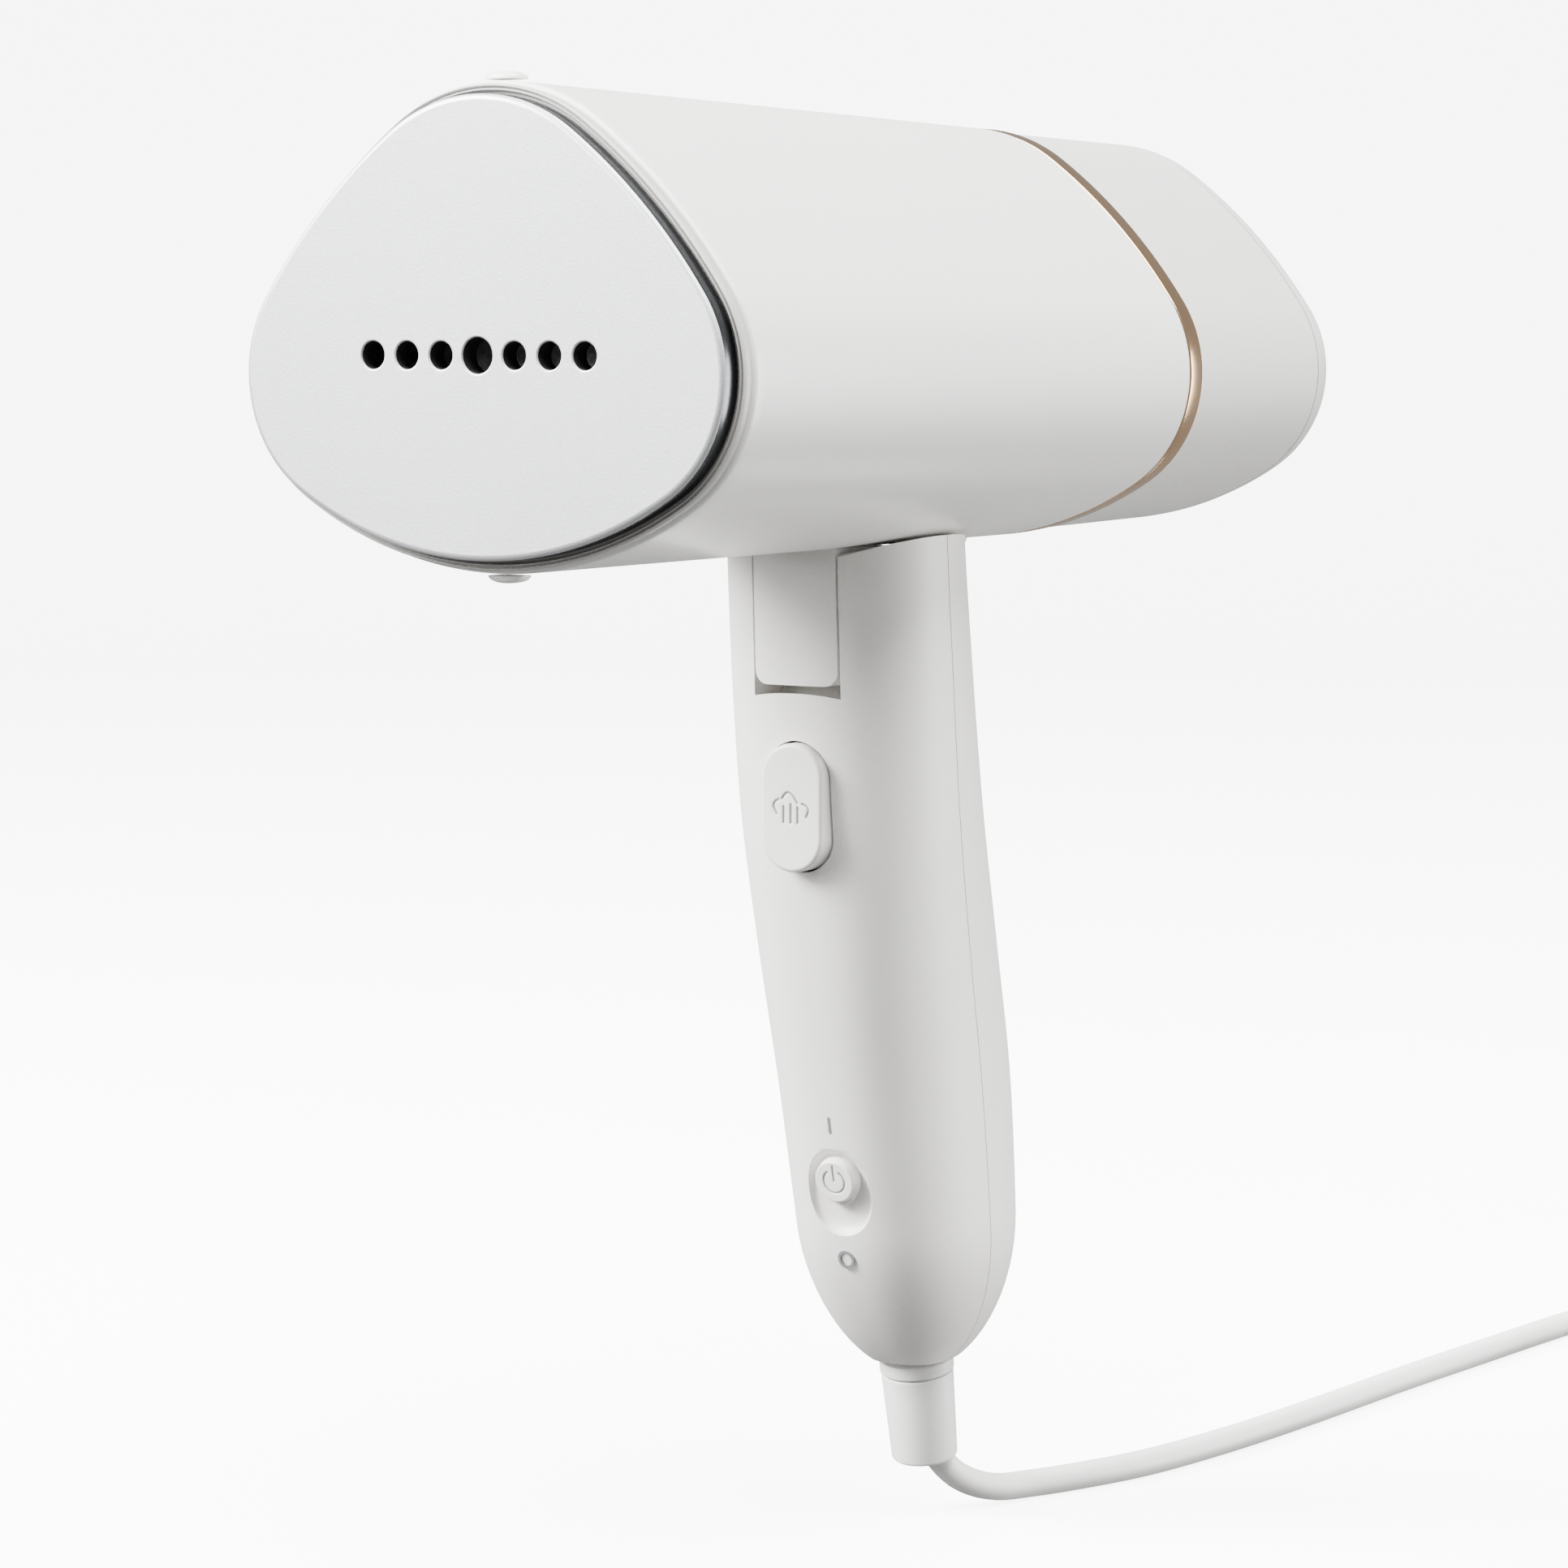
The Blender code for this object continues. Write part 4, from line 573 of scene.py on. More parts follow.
def makeHousing():
    start, wall, lip = housingY, housing["wall"], housing["lip"]
    front = roundRows(start + lip, housing["frontOffset"] - lip, lip, 180, 90)
    body = [housingRow(y) for y in np.linspace(start + lip + 0.002, housingEnd - 0.0003, 24)]
    rows = [(start, housing["frontOffset"] - wall), *front, *body, housingRow(housingEnd, -0.0003)]
    rows += [housingRow(y, -wall) for y in (housingEnd, (start + housingEnd) / 2, start + 0.004)]
    made = closedSkin("headHousing", headRings(rows), looks["pearl"], hollow=True)
    low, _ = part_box("neck_bracket")
    slot = boxTool((-0.0090, low.y - 0.0004, 0.0680), (0.0090, -0.0241 + 0.0085 + 0.0004, 0.0793))
    latch = boxTool((-0.0064, 0.0151, 0.0700), (0.0064, 0.0229, 0.0810))
    combine(made, "DIFFERENCE", slot, latch)
    return settle(made, "head", "pearl_plastic", "head_housing")


# champagne ring, tank and its rounded end
ring = {"width": 0.0050, "soft": 0.0005}
tank = {"length": 0.0670, "wall": 0.0022, "offset": 0.0016, "endOffset": 0.0009, "endRadius": 0.0152}
ringEnd = housingEnd + bezel["gap"] + ring["width"]
tankY = ringEnd + bezel["gap"]
capY = tankY + tank["length"] - tank["endRadius"]


def makeRing():
    start, outer, drop, soft = housingEnd + bezel["gap"], housing["rearOffset"], housing["drop"], ring["soft"]
    inner = outer - housing["wall"]
    rows = [(start, inner, drop), *roundRows(start + soft, outer - soft, soft, 180, 90, drop),
            *roundRows(ringEnd - soft, outer - soft, soft, 90, 0, drop), (ringEnd, inner, drop)]
    made = closedSkin("trimRing", headRings(rows), looks["champagne"], hollow=True)
    return settle(made, "head", "champagne_metal", "trim_ring")


def tankRow(y, grow=0.0):
    share = (y - tankY) / (capY - tankY)
    return (y, tank["offset"] + (tank["endOffset"] - tank["offset"]) * share + grow, housing["drop"])


def makeTank():
    wall, gap, drop = tank["wall"], bezel["gap"], housing["drop"]
    inset = housing["rearOffset"] - housing["wall"] - 0.0004
    seat = housingEnd - 0.0046 + 0.003 + gap + 0.0022 + gap
    lip = roundRows(tankY + 0.0003, tank["offset"] - 0.0003, 0.0003, 180, 90, drop, 4)
    rows = [(seat, inset, drop), (tankY, inset, drop), *lip]
    rows += [tankRow(y) for y in np.linspace(tankY + 0.001, capY - gap - 0.0002, 14)]
    rows += [tankRow(capY - gap, -0.0002), tankRow(capY - gap, -wall), tankRow(tankY + wall, -wall - 0.0004),
             (tankY + wall, inset - wall, drop), (seat + wall, inset - wall, drop)]
    made = closedSkin("tankShell", headRings(rows), looks["frosted"])
    low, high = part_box("filler_flap")
    mouth = boxTool((low.x - 0.0004, 0.0556, low.z - 0.003), (high.x + 0.0004, 0.0804, low.z + 0.0075))
    pin = turnedSkin("tool", [(0.0009, -0.0104), (0.0009, 0.0104)],
                     Matrix.Translation((0, 0.0575, 0.0770635))
                     @ Matrix.Rotation(math.radians(90), 4, "Y"), steps=24)
    port = turnedSkin("tool", [(0.0050, -0.004), (0.0050, 0.005)],
                      Matrix.Translation((0, seat, 0.098))
                      @ Matrix.Rotation(math.radians(-90), 4, "X"), steps=48)
    combine(made, "DIFFERENCE", mouth, pin, port)
    settle(made, "tank", "frosted_plastic", "tank_shell")
    turns = np.radians(np.linspace(0, 90, 16))
    # each wall's end is a quarter circle in (y, offset)
    radius, depth, end = tank["endRadius"], tank["endRadius"] - wall, tank["endOffset"]
    outer = [(capY + radius * math.sin(t), end - radius * (1 - math.cos(t)), drop) for t in turns]
    inner = [(capY + depth * math.sin(t), end - wall - depth * (1 - math.cos(t)), drop) for t in turns]
    cap = closedSkin("tankEndCap", headRings([*outer[::-1], *inner]), looks["frosted"])
    return made, settle(cap, "tank", "frosted_plastic", "tank_end_cap")


makePlate()
makeBezel()
makeHousing()
makeRing()
makeTank()
print("head and tank made")


# handle: superellipse sections on a smooth curve through a few stations, each of height, middle,
# half width and half depth
handle = {"stations": ((0.0800, -0.0120, 0.0213, 0.0188), (0.0500, -0.0092, 0.0212, 0.0205),
                       (0.0250, -0.0055, 0.0206, 0.0226), (0.0000, 0.0002, 0.0196, 0.0243),
                       (-0.0250, 0.0063, 0.0187, 0.0250), (-0.0500, 0.0105, 0.0182, 0.0235),
                       (-0.0800, 0.0140, 0.0178, 0.0205)),
          "top": 0.0800, "foot": -0.0800, "round": 0.0275, "power": 2.4, "wall": 0.0022, "gap": 0.0003,
          "steps": 128, "screws": (0.058, 0.006, -0.022), "screwHead": 0.0030, "post": 0.0038}
hinge = {"y": -0.0241, "z": 0.0565, "pin": 0.0015, "pinHalf": 0.0130, "half": 0.0086, "below": 0.0060,
         "behind": 0.0085, "corner": 0.0026, "flangeZ": 0.0793, "flange": 0.0030, "run": 0.0004}


def curveThrough(a, b, c, d, t):
    # Catmull-Rom: the cubic from b to c whose slopes there follow a, c and b, d
    return 0.5 * (2 * b + (c - a) * t + (2 * a - 5 * b + 4 * c - d) * t ** 2
                  + (3 * b - a - 3 * c + d) * t ** 3)


def handleAt(z):
    # middle, half width and half depth at each height, by a Catmull-Rom curve through the stations
    rows = np.array(handle["stations"])
    z = np.atleast_1d(np.asarray(z, float))
    k = np.clip(np.searchsorted(-rows[:, 0], -z, side="right") - 1, 0, len(rows) - 2)
    a, b, c, d = (rows[np.clip(k + i, 0, len(rows) - 1), 1:] for i in (-1, 0, 1, 2))
    t = np.clip((rows[k, 0] - z) / (rows[k, 0] - rows[k + 1, 0]), 0, 1)[:, None]
    return curveThrough(a, b, c, d, t)


def handleRings(heights, wall):
    # x and y are cos and sin raised to 2 over the power; near the foot a quarter ellipse draws them in
    z = np.asarray(heights, float)
    middle, wide, deep = (column[:, None] for column in handleAt(z).T)
    start = handle["foot"] + handle["round"]
    fall = np.maximum(start - z, 0) / (start - handle["foot"] - wall + 0.003)
    shrink = np.sqrt(np.maximum(1 - fall ** 2, 0))[:, None]
    turn = np.linspace(0, 2 * np.pi, handle["steps"], endpoint=False)
    c, s = np.cos(turn), np.sin(turn)
    x = np.sign(c) * np.abs(c) ** (2 / handle["power"]) * (wide - wall) * shrink
    y = middle + np.sign(s) * np.abs(s) ** (2 / handle["power"]) * (deep - wall) * shrink
    return np.stack(np.broadcast_arrays(x, y, z[:, None]), -1)


def handleForm(low, high, wall):
    start = handle["foot"] + handle["round"]
    foot = start - (start - low) * np.sin(np.radians(np.linspace(90, 0, 16)))
    return closedSkin("form", handleRings([*foot, *np.linspace(start, high, 48)[1:]], wall), looks["warm"])


def frontSurface(x, z):
    # y of the handle's front at any x and z, from the superellipse
    middle, wide, deep = handleAt(np.ravel(z)).T
    power = handle["power"]
    y = middle - deep * np.maximum(1 - np.abs(np.ravel(x) / wide) ** power, 0) ** (1 / power)
    return y.reshape(np.shape(x))


def frontY(z):
    return float(frontSurface(np.zeros(1), np.full(1, z))[0])


def partingBlock(ahead, keep):
    # four-cornered rings down the handle, one side on the surface where the shells meet
    z = np.linspace(handle["top"] + 0.01, handle["foot"] - 0.02, 40)
    edge = handleAt(z)[:, 0] + keep
    far = np.full_like(z, -0.08 if ahead else 0.08)
    rings = [np.stack([np.full_like(z, x), y, z], 1) for x, y in ((-0.05, edge), (0.05, edge), (0.05, far),
                                                                 (-0.05, far))]
    return closedSkin("tool", np.stack(rings, 1))


def prism(outlinePoints, axis, low, high, look=None):
    # an outline carried straight along one axis
    flat = np.asarray(outlinePoints, float)
    rings = [np.insert(flat, axis, at, axis=1) for at in (low, high)]
    return closedSkin("tool", rings, look)


def rodTool(radius, place, toward, length, steps=48):
    turn = Vector(toward).to_track_quat("Z", "Y").to_matrix().to_4x4()
    return turnedSkin("tool", [(radius, 0.0), (radius, length)], Matrix.Translation(place) @ turn,
                      steps=steps)


def tabSide(grow):
    # flat end ahead, round about the pin behind
    radius, below = hinge["behind"] + grow, hinge["below"] + grow
    turn = np.linspace(-math.asin(below / radius), 0, 12)
    arc = np.stack([hinge["y"] + radius * np.cos(turn), hinge["z"] + radius * np.sin(turn)], 1)
    return [(hinge["y"] - 0.016, hinge["z"] - below), *arc.tolist(), (hinge["y"] + radius, hinge["flangeZ"]),
            (hinge["y"] - 0.016, hinge["flangeZ"])]


def tabFront(grow):
    half, low, corner = hinge["half"] + grow, hinge["z"] - hinge["below"] - grow, hinge["corner"] + grow
    points = [(half, hinge["flangeZ"])]
    for side, start in ((1, 0), (-1, 270)):
        turn = np.radians(start - np.linspace(0, 90, 14))
        x, z = side * (half - corner) + corner * np.cos(turn), low + corner + corner * np.sin(turn)
        points += np.stack([x, z], 1).tolist()
    return [*points, (-half, hinge["flangeZ"])]


def tabSweep():
    # what the tab's lower end passes through: circles about the pin, smaller at the round corners
    half, corner, run = hinge["half"] + hinge["run"] + 0.00005, hinge["corner"], hinge["run"]
    inward = half - corner
    side = inward + corner * np.cos(np.radians(np.linspace(0, 90, 10)))
    x = np.concatenate([-side, side[::-1]])
    past = np.maximum(np.abs(x) - inward, 0)
    lift = corner - np.sqrt(np.maximum(corner ** 2 - past ** 2, 0))
    ahead = hinge["y"] - frontY(hinge["z"] - hinge["below"])
    radius = np.maximum(np.hypot(ahead, hinge["below"] - lift), hinge["behind"]) + 2 * run
    turn = np.linspace(0, 2 * np.pi, 72, endpoint=False)
    y, z = hinge["y"] + radius[:, None] * np.cos(turn), hinge["z"] + radius[:, None] * np.sin(turn)
    return closedSkin("tool", np.stack(np.broadcast_arrays(x[:, None], y, z), -1))


def headClearance(turn):
    # the housing's outside, a little grown, as the handle meets it at one angle of the fold
    pivot = Vector((0, hinge["y"], hinge["z"]))
    spin = (Matrix.Translation(pivot) @ Matrix.Rotation(math.radians(turn), 4, "X")
            @ Matrix.Translation(-pivot))
    rings = headRings([housingRow(y, 2 * hinge["run"]) for y in np.linspace(-0.070, 0.028, 12)])
    return closedSkin("tool", carry(rings, spin))


# dished recess, the knob that slides in it, and the trigger
recess = {"z": -0.0442, "width": 0.0133, "height": 0.0168, "depth": 0.0019, "slotWide": 0.0026,
          "slotLow": -0.0023, "slotHigh": 0.0052}
knob = {"up": 0.0025, "base": 0.0044, "face": 0.0040, "proud": 0.0008, "tongue": 0.0052}
trigger = {"z": 0.0285, "width": 0.0128, "height": 0.0233, "proud": 0.0024, "soft": 0.0008, "deep": 0.0058}


def slideMatrix(up=0.0):
    # local y into the handle and local z up its front, at the recess
    z = recess["z"]
    tilt = math.atan2(frontY(z - 0.012) - frontY(z + 0.012), 0.024)
    return (Matrix.Translation((0, frontY(z), z)) @ Matrix.Rotation(tilt, 4, "X")
            @ Matrix.Translation((0, 0, up)))


def recessTool():
    # rings of a superellipse from the rim to the middle: depth is 1 - rho^8 to the power 0.8
    rho = np.concatenate([[1.07, 1.07], np.linspace(1.03, 0.985, 4), np.linspace(0.97, 0.02, 22)])
    turn = np.linspace(0, 2 * np.pi, 96, endpoint=False)
    c, s = np.cos(turn), np.sin(turn)
    x = rho[:, None] * np.sign(c) * np.abs(c) ** (2 / 2.15) * recess["width"] / 2
    z = rho[:, None] * np.sign(s) * np.abs(s) ** (2 / 2.15) * recess["height"] / 2
    matrix = slideMatrix()
    world = carry(np.stack([x, np.zeros_like(x), z], -1), matrix)
    top = frontSurface(world[..., 0], world[..., 2])
    depth = recess["depth"] * np.maximum(1 - np.minimum(rho, 1) ** 8, 0) ** 0.8
    share = smoothStep((1.0 - rho) / 0.35)[:, None]
    world[..., 1] = top * (1 - share) + world[..., 1] * share + depth[:, None]
    world[2:6, :, 1] = top[2:6] + np.array([-0.0002, -0.00002, 0.00010, 0.00028])[:, None]
    world[0, :, 1] = -0.050
    world[1, :, 1] = top[1] - 0.0010
    return closedSkin("tool", world)


def pillLoop(width, height, grow, steps=120):
    # upright outline with round ends, its points even along it by length
    radius, rise = width / 2 + grow, (height - width) / 2
    turn = np.linspace(0, np.pi, 100)
    upper = np.stack([radius * np.cos(turn), rise + radius * np.sin(turn)], 1)
    line = np.concatenate([[(radius, 0.0)], upper, -upper, [(radius, 0.0)]])
    along = np.concatenate([[0], np.cumsum(np.linalg.norm(np.diff(line, axis=0), axis=1))])
    at = np.linspace(0, along[-1], steps, endpoint=False)
    return np.stack([np.interp(at, along, line[:, 0]), np.interp(at, along, line[:, 1])], 1)


def strokeDistance(x, z, strokes):
    # shortest distance from each point to any of the strokes' straight parts
    best = np.full(x.shape, 1.0)
    for stroke in strokes:
        for (ax, az), (bx, bz) in zip(stroke, stroke[1:]):
            dx, dz = bx - ax, bz - az
            t = np.clip(((x - ax) * dx + (z - az) * dz) / (dx * dx + dz * dz + 1e-12), 0, 1)
            best = np.minimum(best, np.hypot(x - ax - t * dx, z - az - t * dz))
    return best


def smoothStroke(points, scale=0.001):
    # finer points on a Catmull-Rom curve through a few, given in millimetres
    p = np.array([points[0], *points, points[-1]]) * scale
    if len(points) == 2:
        return np.array(points) * scale
    t = np.linspace(0, 1, 7)[:-1, None]
    parts = [curveThrough(a, b, c, d, t) for a, b, c, d in zip(p, p[1:], p[2:], p[3:])]
    return np.concatenate([*parts, p[-1:]])


steamIcon = [((-2.9, -1.09), (-3.6, 0.15), (-3.3, 1.0), (-2.47, 1.49)),
             ((-1.8, 1.68), (-1.2, 2.5), (-0.5, 2.75), (0.4, 2.3), (1.35, 1.0)),
             ((2.47, 0.82), (3.3, 0.45), (3.7, -0.23), (3.25, -1.47)),
             ((-1.5, 0.25), (-1.5, -2.65)), ((0.0, 0.63), (0.0, -2.65)), ((1.45, 0.15), (1.45, -2.7))]


def markGrooveShade(piece, grooveShade):
    # the groove's strength at each point, for the material to darken as painted shade
    store = piece.data.attributes.new("grooveShade", "FLOAT", "POINT")
    store.data.foreach_set("value", np.asarray(grooveShade, float).ravel())
    return piece


def makeTrigger():
    z, soft = trigger["z"], trigger["soft"]
    face = frontY(z) - trigger["proud"]
    deep = frontY(z) + trigger["deep"]
    turn = np.radians(np.linspace(0, 90, 8))
    edge = [(deep, 0.0), *zip(face + soft - soft * np.sin(turn), -soft + soft * np.cos(turn))]
    wide, tall = trigger["width"], trigger["height"]
    rings = [np.insert(pillLoop(wide, tall, grow, 240), 1, y, axis=1) for y, grow in edge]
    inner = pillLoop(trigger["width"], trigger["height"], -soft, 240)
    share = np.linspace(0.985, 0.004, 96)[:, None, None]
    flat = inner * share
    near = strokeDistance(flat[..., 0], flat[..., 1], [smoothStroke(stroke) for stroke in steamIcon])
    groove = np.exp(-(near / 0.00021) ** 2)
    top = np.stack([flat[..., 0], face + 0.00028 * groove, flat[..., 1]], -1)
    rings = np.concatenate([np.array(rings), top])
    rings[..., 2] += z
    made = closedSkin("steamTrigger", rings, looks["control"])
    markGrooveShade(made, np.concatenate([np.zeros((len(edge), 240)), groove]))
    return settle(made, "trigger", "warm_plastic", "steam_trigger")


def makeKnob():
    # rings from an egg-shaped foot in the recess up to a round face with its symbol cut in
    turn = np.linspace(0, 2 * np.pi, 200, endpoint=False)
    c, s = np.cos(turn), np.sin(turn)
    low = np.where(s < 0, knob["tongue"] / knob["base"], 1.0)
    egg = np.stack([knob["base"] * c * np.where(s < 0, 1 - 0.10 * s ** 2, 1.0), knob["base"] * low * s], 1)
    disc = np.stack([c, s], 1)
    down = np.where(s < 0, np.abs(s) ** 1.5, 0.0)
    bottom = recess["depth"] - handle["gap"]
    foot = bottom - 0.75e-3 * down
    rows = [(0.97 * egg, foot), (egg, foot - 0.0001), (egg, foot - 0.0003),
            (0.975 * egg, foot - 0.00048)]
    rows += [(egg * (1 - share) + disc * knob["base"] * 0.96 * share,
              (foot - 0.00048) * (1 - share) + 0.0004 * share) for share in (0.45, 0.8, 1.0)]
    rim = np.radians(np.linspace(0, 90, 7))
    rows += [(disc * (knob["face"] - 0.0003 + 0.0003 * math.cos(t)), np.full(200, -knob["proud"] + 0.0003
              - 0.0003 * math.sin(t))) for t in rim]
    share = np.linspace(0.97, 0.01, 70)[:, None, None]
    flat = disc * (knob["face"] - 0.0003) * share
    arc = np.radians(np.linspace(125, 415, 40))
    strokes = [0.0022 * np.stack([np.cos(arc), np.sin(arc)], 1), np.array([(0.0, 0.0031), (0.0, 0.0001)])]
    groove = np.exp(-(strokeDistance(flat[..., 0], flat[..., 1], strokes) / 0.00019) ** 2)
    rings = [np.stack([xz[:, 0], y, xz[:, 1]], 1) for xz, y in rows]
    top = np.stack([flat[..., 0], -knob["proud"] + 0.00022 * groove, flat[..., 1]], -1)
    local = np.concatenate([np.array(rings), top])
    made = closedSkin("powerSlider", carry(local, slideMatrix(knob["up"])), looks["control"])
    markGrooveShade(made, np.concatenate([np.zeros((len(rings), 200)), groove]))
    stem = boxTool((-0.0010, bottom - 0.0004, 0.0003), (0.0010, 0.0058, 0.0023), slideMatrix(knob["up"]))
    stem.data.materials.append(looks["control"])
    combine(made, "UNION", stem)
    return settle(made, "slider", "warm_plastic", "power_slider")


def inkOn(name, outer, inner=None):
    # a print that follows the handle's front: loops of (x, z) a hair in front of it and just below it
    proud, sunk = -0.00003, 0.00020
    loops = [(outer, sunk), (outer, proud)]
    if inner is not None:
        loops = [(outer, proud), (inner, proud), (inner, sunk), (outer, sunk)]
    rings = [np.stack([xz[:, 0], frontSurface(xz[:, 0], xz[:, 1]) + deep, xz[:, 1]], 1) for xz, deep in loops]
    return settle(closedSkin(name, rings, looks["ink"], hollow=inner is not None), "handle", "black_plastic")


def makeMarks():
    turn = np.linspace(0, 2 * np.pi, 72, endpoint=False)
    circle = np.stack([np.cos(turn), np.sin(turn)], 1)
    inkOn("markOn", pillLoop(0.00067, 0.0033, 0.0, 48) + (0.0, -0.0312))
    inkOn("markOff", circle * 0.00175 + (0.0, -0.0572), circle * 0.0012 + (0.0, -0.0572))


def makeHandle():
    wall, gap, top, foot, run = handle["wall"], handle["gap"], handle["top"], handle["foot"], hinge["run"]
    front = combine(handleForm(foot, top, 0.0), "INTERSECT", partingBlock(True, -gap / 2))
    rear = combine(handleForm(foot, top, 0.0), "INTERSECT", partingBlock(False, gap / 2))
    combine(front, "DIFFERENCE", handleForm(foot + wall + 0.001, hinge["z"] - 0.0125, wall))
    combine(rear, "DIFFERENCE", handleForm(foot + wall + 0.001, top + 0.004, wall))
    for z in handle["screws"]:
        middle, _, deep = handleAt(z)[0]
        back = float(middle + deep)
        bossEnd = back - wall - 0.0040 + 0.001
        root = float(middle) - 0.002 if z > hinge["z"] - 0.012 else frontY(z) + 0.0015
        combine(front, "UNION", rodTool(handle["post"], (0, root, z), (0, 1, 0), bossEnd - gap - root))
        combine(rear, "UNION", rodTool(handle["post"] + 0.001, (0, bossEnd, z), (0, 1, 0),
                                       back - 0.0012 - bossEnd))
        combine(front, "DIFFERENCE", rodTool(0.0014 + gap, (0, bossEnd - 0.009, z), (0, 1, 0), 0.02))
        combine(rear, "DIFFERENCE", rodTool(0.0014 + gap, (0, bossEnd - 0.009, z), (0, 1, 0), 0.02),
                rodTool(handle["screwHead"] + gap, (0, back - 0.0030, z), (0, 1, 0), 0.02))
    for turn in (0, 8, 16):
        combine(front, "DIFFERENCE", headClearance(turn))
    combine(rear, "DIFFERENCE", headClearance(0))
    for shell in (front, rear):
        combine(shell, "DIFFERENCE", boxTool((-0.03, -0.03, -0.03), (0.03, 0.03, 0.0), exitMatrix),
                turnedSkin("tool", [(0.0054, -0.020), (0.0054, 0.010)], exitMatrix, steps=48))
    slot = combine(prism(tabSide(run), 0, -0.0172, 0.0172), "INTERSECT",
                   prism(tabFront(run), 1, hinge["y"] - 0.012, hinge["y"] + 0.017))
    pinHole = (-hinge["pinHalf"] - gap, hinge["y"], hinge["z"])
    combine(front, "DIFFERENCE", slot, tabSweep(),
            rodTool(hinge["pin"] + run, pinHole, (1, 0, 0), 2 * (hinge["pinHalf"] + gap)))
    opening = pillLoop(trigger["width"], trigger["height"], run, 96) + (0.0, trigger["z"])
    pad = boxTool((-0.0085, recess["depth"] + 0.00005, -0.011), (0.0085, recess["depth"] + 0.0015, 0.011),
                  slideMatrix())
    slotHole = boxTool((-recess["slotWide"] / 2, 0.0, recess["slotLow"]),
                       (recess["slotWide"] / 2, 0.008, recess["slotHigh"]), slideMatrix())
    combine(front, "UNION", pad)
    combine(front, "DIFFERENCE", prism(opening, 1, -0.050, frontY(trigger["z"]) + 0.008), recessTool(),
            slotHole)
    front.name, rear.name = "handleFront", "handleRear"
    settle(front, "handle", "warm_plastic", "handle_front_shell")
    settle(rear, "handle", "warm_plastic", "handle_rear_shell")


def makeTab():
    tab = combine(prism(tabSide(0.0), 0, -0.0172, 0.0172, looks["warm"]), "INTERSECT",
                  prism(tabFront(0.0), 1, hinge["y"] - 0.012, hinge["y"] + 0.017),
                  handleForm(handle["foot"], handle["top"], 0.0))
    flange = boxTool((-0.016, hinge["y"] - 0.012, hinge["flangeZ"] - 0.0002),
                     (0.016, hinge["y"] + 0.016, hinge["flangeZ"] + hinge["flange"]))
    combine(tab, "UNION", flange)
    combine(tab, "DIFFERENCE", rodTool(hinge["pin"] + hinge["run"], (-0.014, hinge["y"], hinge["z"]),
                                       (1, 0, 0), 0.028))
    for x, y in ((-0.0128, -0.009), (0.0128, -0.009), (-0.0128, 0.013), (0.0128, 0.013)):
        drill = rodTool(0.0018, (x, hinge["y"] + y, hinge["flangeZ"] - 0.0026), (0, 0, 1), 0.010)
        combine(tab, "DIFFERENCE", drill)
    tab.name = "neckTab"
    settle(tab, "head", "warm_plastic", "neck_bracket")


def makeLugs():
    # a low cushion: superellipse rings that shrink as the height rises along a quarter circle
    turn = np.linspace(0, 2 * np.pi, 96, endpoint=False)
    c, s = np.cos(turn), np.sin(turn)
    rise = np.radians(np.concatenate([[0], np.linspace(6, 89, 18)]))
    for place in ("top", "bottom"):
        low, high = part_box("brush_lug_" + place)
        half, middle = (high - low) / 2, (high + low) / 2
        x = np.cos(rise)[:, None] * np.sign(c) * np.abs(c) ** 0.8 * half.x
        y = middle.y + np.cos(rise)[:, None] ** 0.6 * np.sign(s) * np.abs(s) ** 0.6 * half.y
        up = 2 * half.z * np.sin(rise)[:, None] ** 0.9
        z = low.z + up if place == "top" else high.z - up
        rings = np.stack(np.broadcast_arrays(x, y, z), -1)
        made = closedSkin("brushLug" + place.title(), rings, looks["pearl"])
        settle(made, "head", "grey_plastic", "brush_lug_" + place)


makeHandle()
makeTab()
makeTrigger()
makeKnob()
makeMarks()
makeLugs()
print("handle, tab and controls made")


# CAD nodes that keep their shape take a finish
kept = {
    "warm": ("tank_latch",),
    "frosted": ("filler_flap",),
    "silicone": ("plate_seal", "dock_seal"),
    "jacket": ("inner_flex",),
    "steel": ("heating_element", "thermostat", "heat_shield", "flap_pin", "hinge_pin", "trigger_spring",
              "handle_screw_1", "handle_screw_2", "handle_screw_3", "bracket_screw_1", "bracket_screw_2",
              "bracket_screw_3", "bracket_screw_4"),
    "cast": ("steam_generator",),
    "board": ("control_board",),
    "black": ("control_relay", "water_pump", "tank_valve", "trigger_microswitch", "power_switch",
              "flex_clamp"),
    "copper": ("pump_coil", "thermal_fuse"),
    "hose": ("inlet_hose", "outlet_hose"),
    "pearl": ("tank_bulkhead",),
}
for finish, names in kept.items():
    for name in names:
        nodes[name].material_slots[0].material = looks[finish]
print("kept parts finished")


# floor that curves up into a pale wall all round, and soft lights
studio = {"floor": -0.11165, "flat": 2.2, "bend": 1.0, "wall": 2.4, "pale": "#F4F4F3", "glow": 6.8,
          "air": 0.42}


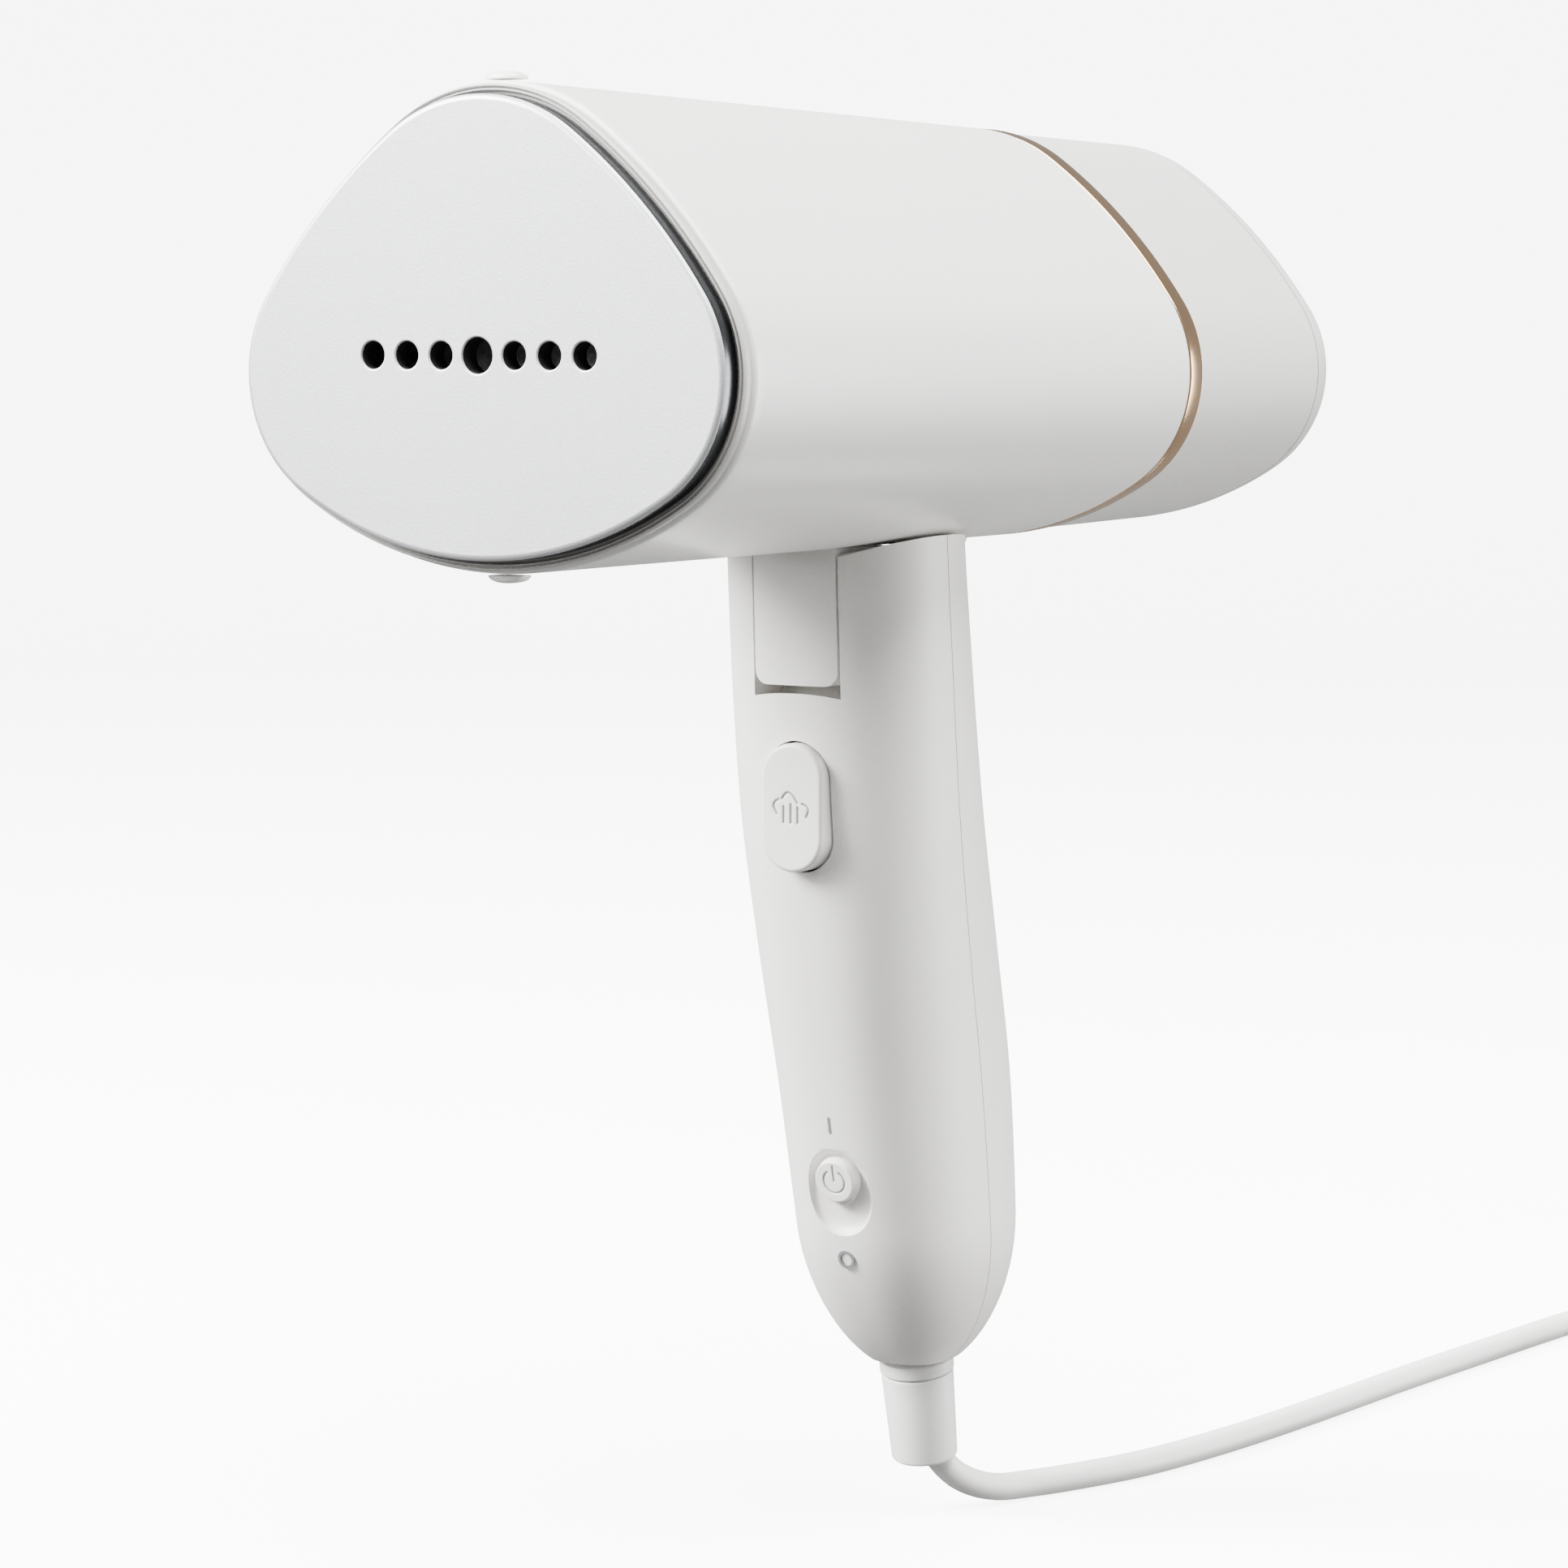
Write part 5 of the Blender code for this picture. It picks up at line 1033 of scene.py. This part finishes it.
def makeStage():
    # flat disc, a quarter-round bend and an upright wall, carried round z
    bend = np.radians(np.linspace(0, 90, 24))
    flat, radius, floor = studio["flat"], studio["bend"], studio["floor"]
    curve = np.stack([flat + radius * np.sin(bend), floor + radius * (1 - np.cos(bend))], 1)
    profile = np.concatenate([[(0.004, floor), (flat * 0.5, floor)], curve,
                              [(flat + radius, floor + studio["wall"])]])
    turn = np.linspace(0, 2 * np.pi, 96, endpoint=False)
    points = np.stack(np.broadcast_arrays(profile[:, :1] * np.cos(turn), profile[:, :1] * np.sin(turn),
                                          profile[:, 1:]), -1)
    faces = gridFaces(*points.shape[:2])[:, ::-1].tolist() + [list(range(96))]
    mesh = bpy.data.meshes.new("studioSweep")
    mesh.from_pydata(points.reshape(-1, 3).tolist(), [], faces)
    mesh.shade_smooth()
    # white paper lit evenly from behind, so that it keeps one pale tone
    made, _, shader = newMaterial("studioPaper", studio["pale"], 0.9)
    shader.inputs["Emission Color"].default_value = linear(studio["pale"])
    shader.inputs["Emission Strength"].default_value = studio["glow"]
    mesh.materials.append(made)
    sweep = bpy.data.objects.new("studioSweep", mesh)
    bpy.context.scene.collection.objects.link(sweep)
    # the paper is only a backdrop: it neither lights the object nor shades it
    sweep.visible_diffuse = sweep.visible_glossy = sweep.visible_transmission = sweep.visible_shadow = False


lights = {
    "key": {"at": (-1.10, -1.00, 1.10), "aim": (0.0, -0.03, 0.06), "size": (0.9, 0.9), "power": 175.0},
    "front": {"at": (-0.85, -1.20, 0.60), "aim": (0.0, -0.05, 0.06), "size": (0.8, 0.8), "power": 20.0},
    "top": {"at": (0.45, -0.10, 1.50), "aim": (0.0, 0.0, 0.1), "size": (1.4, 1.4), "power": 125.0},
    "rim": {"at": (1.10, 0.90, -0.05), "aim": (0.0, 0.0, 0.05), "size": (0.8, 0.8), "power": 26.0},
}


def makeLights():
    for name, row in lights.items():
        data = bpy.data.lights.new(name, "AREA")
        data.shape = "RECTANGLE"
        data.size, data.size_y = row["size"]
        data.energy = row["power"]
        made = bpy.data.objects.new(name, data)
        made.location = row["at"]
        made.rotation_euler = (Vector(row["aim"]) - Vector(row["at"])).to_track_quat("-Z", "Y").to_euler()
        bpy.context.scene.collection.objects.link(made)
    world = bpy.data.worlds.new("studio")
    world.use_nodes = True
    world.node_tree.nodes["Background"].inputs["Color"].default_value = linear("#FFFFFF")
    world.node_tree.nodes["Background"].inputs["Strength"].default_value = studio["air"]
    bpy.context.scene.world = world


makeStage()
makeLights()
print("floor and lights set")

bpy.context.view_layer.update()
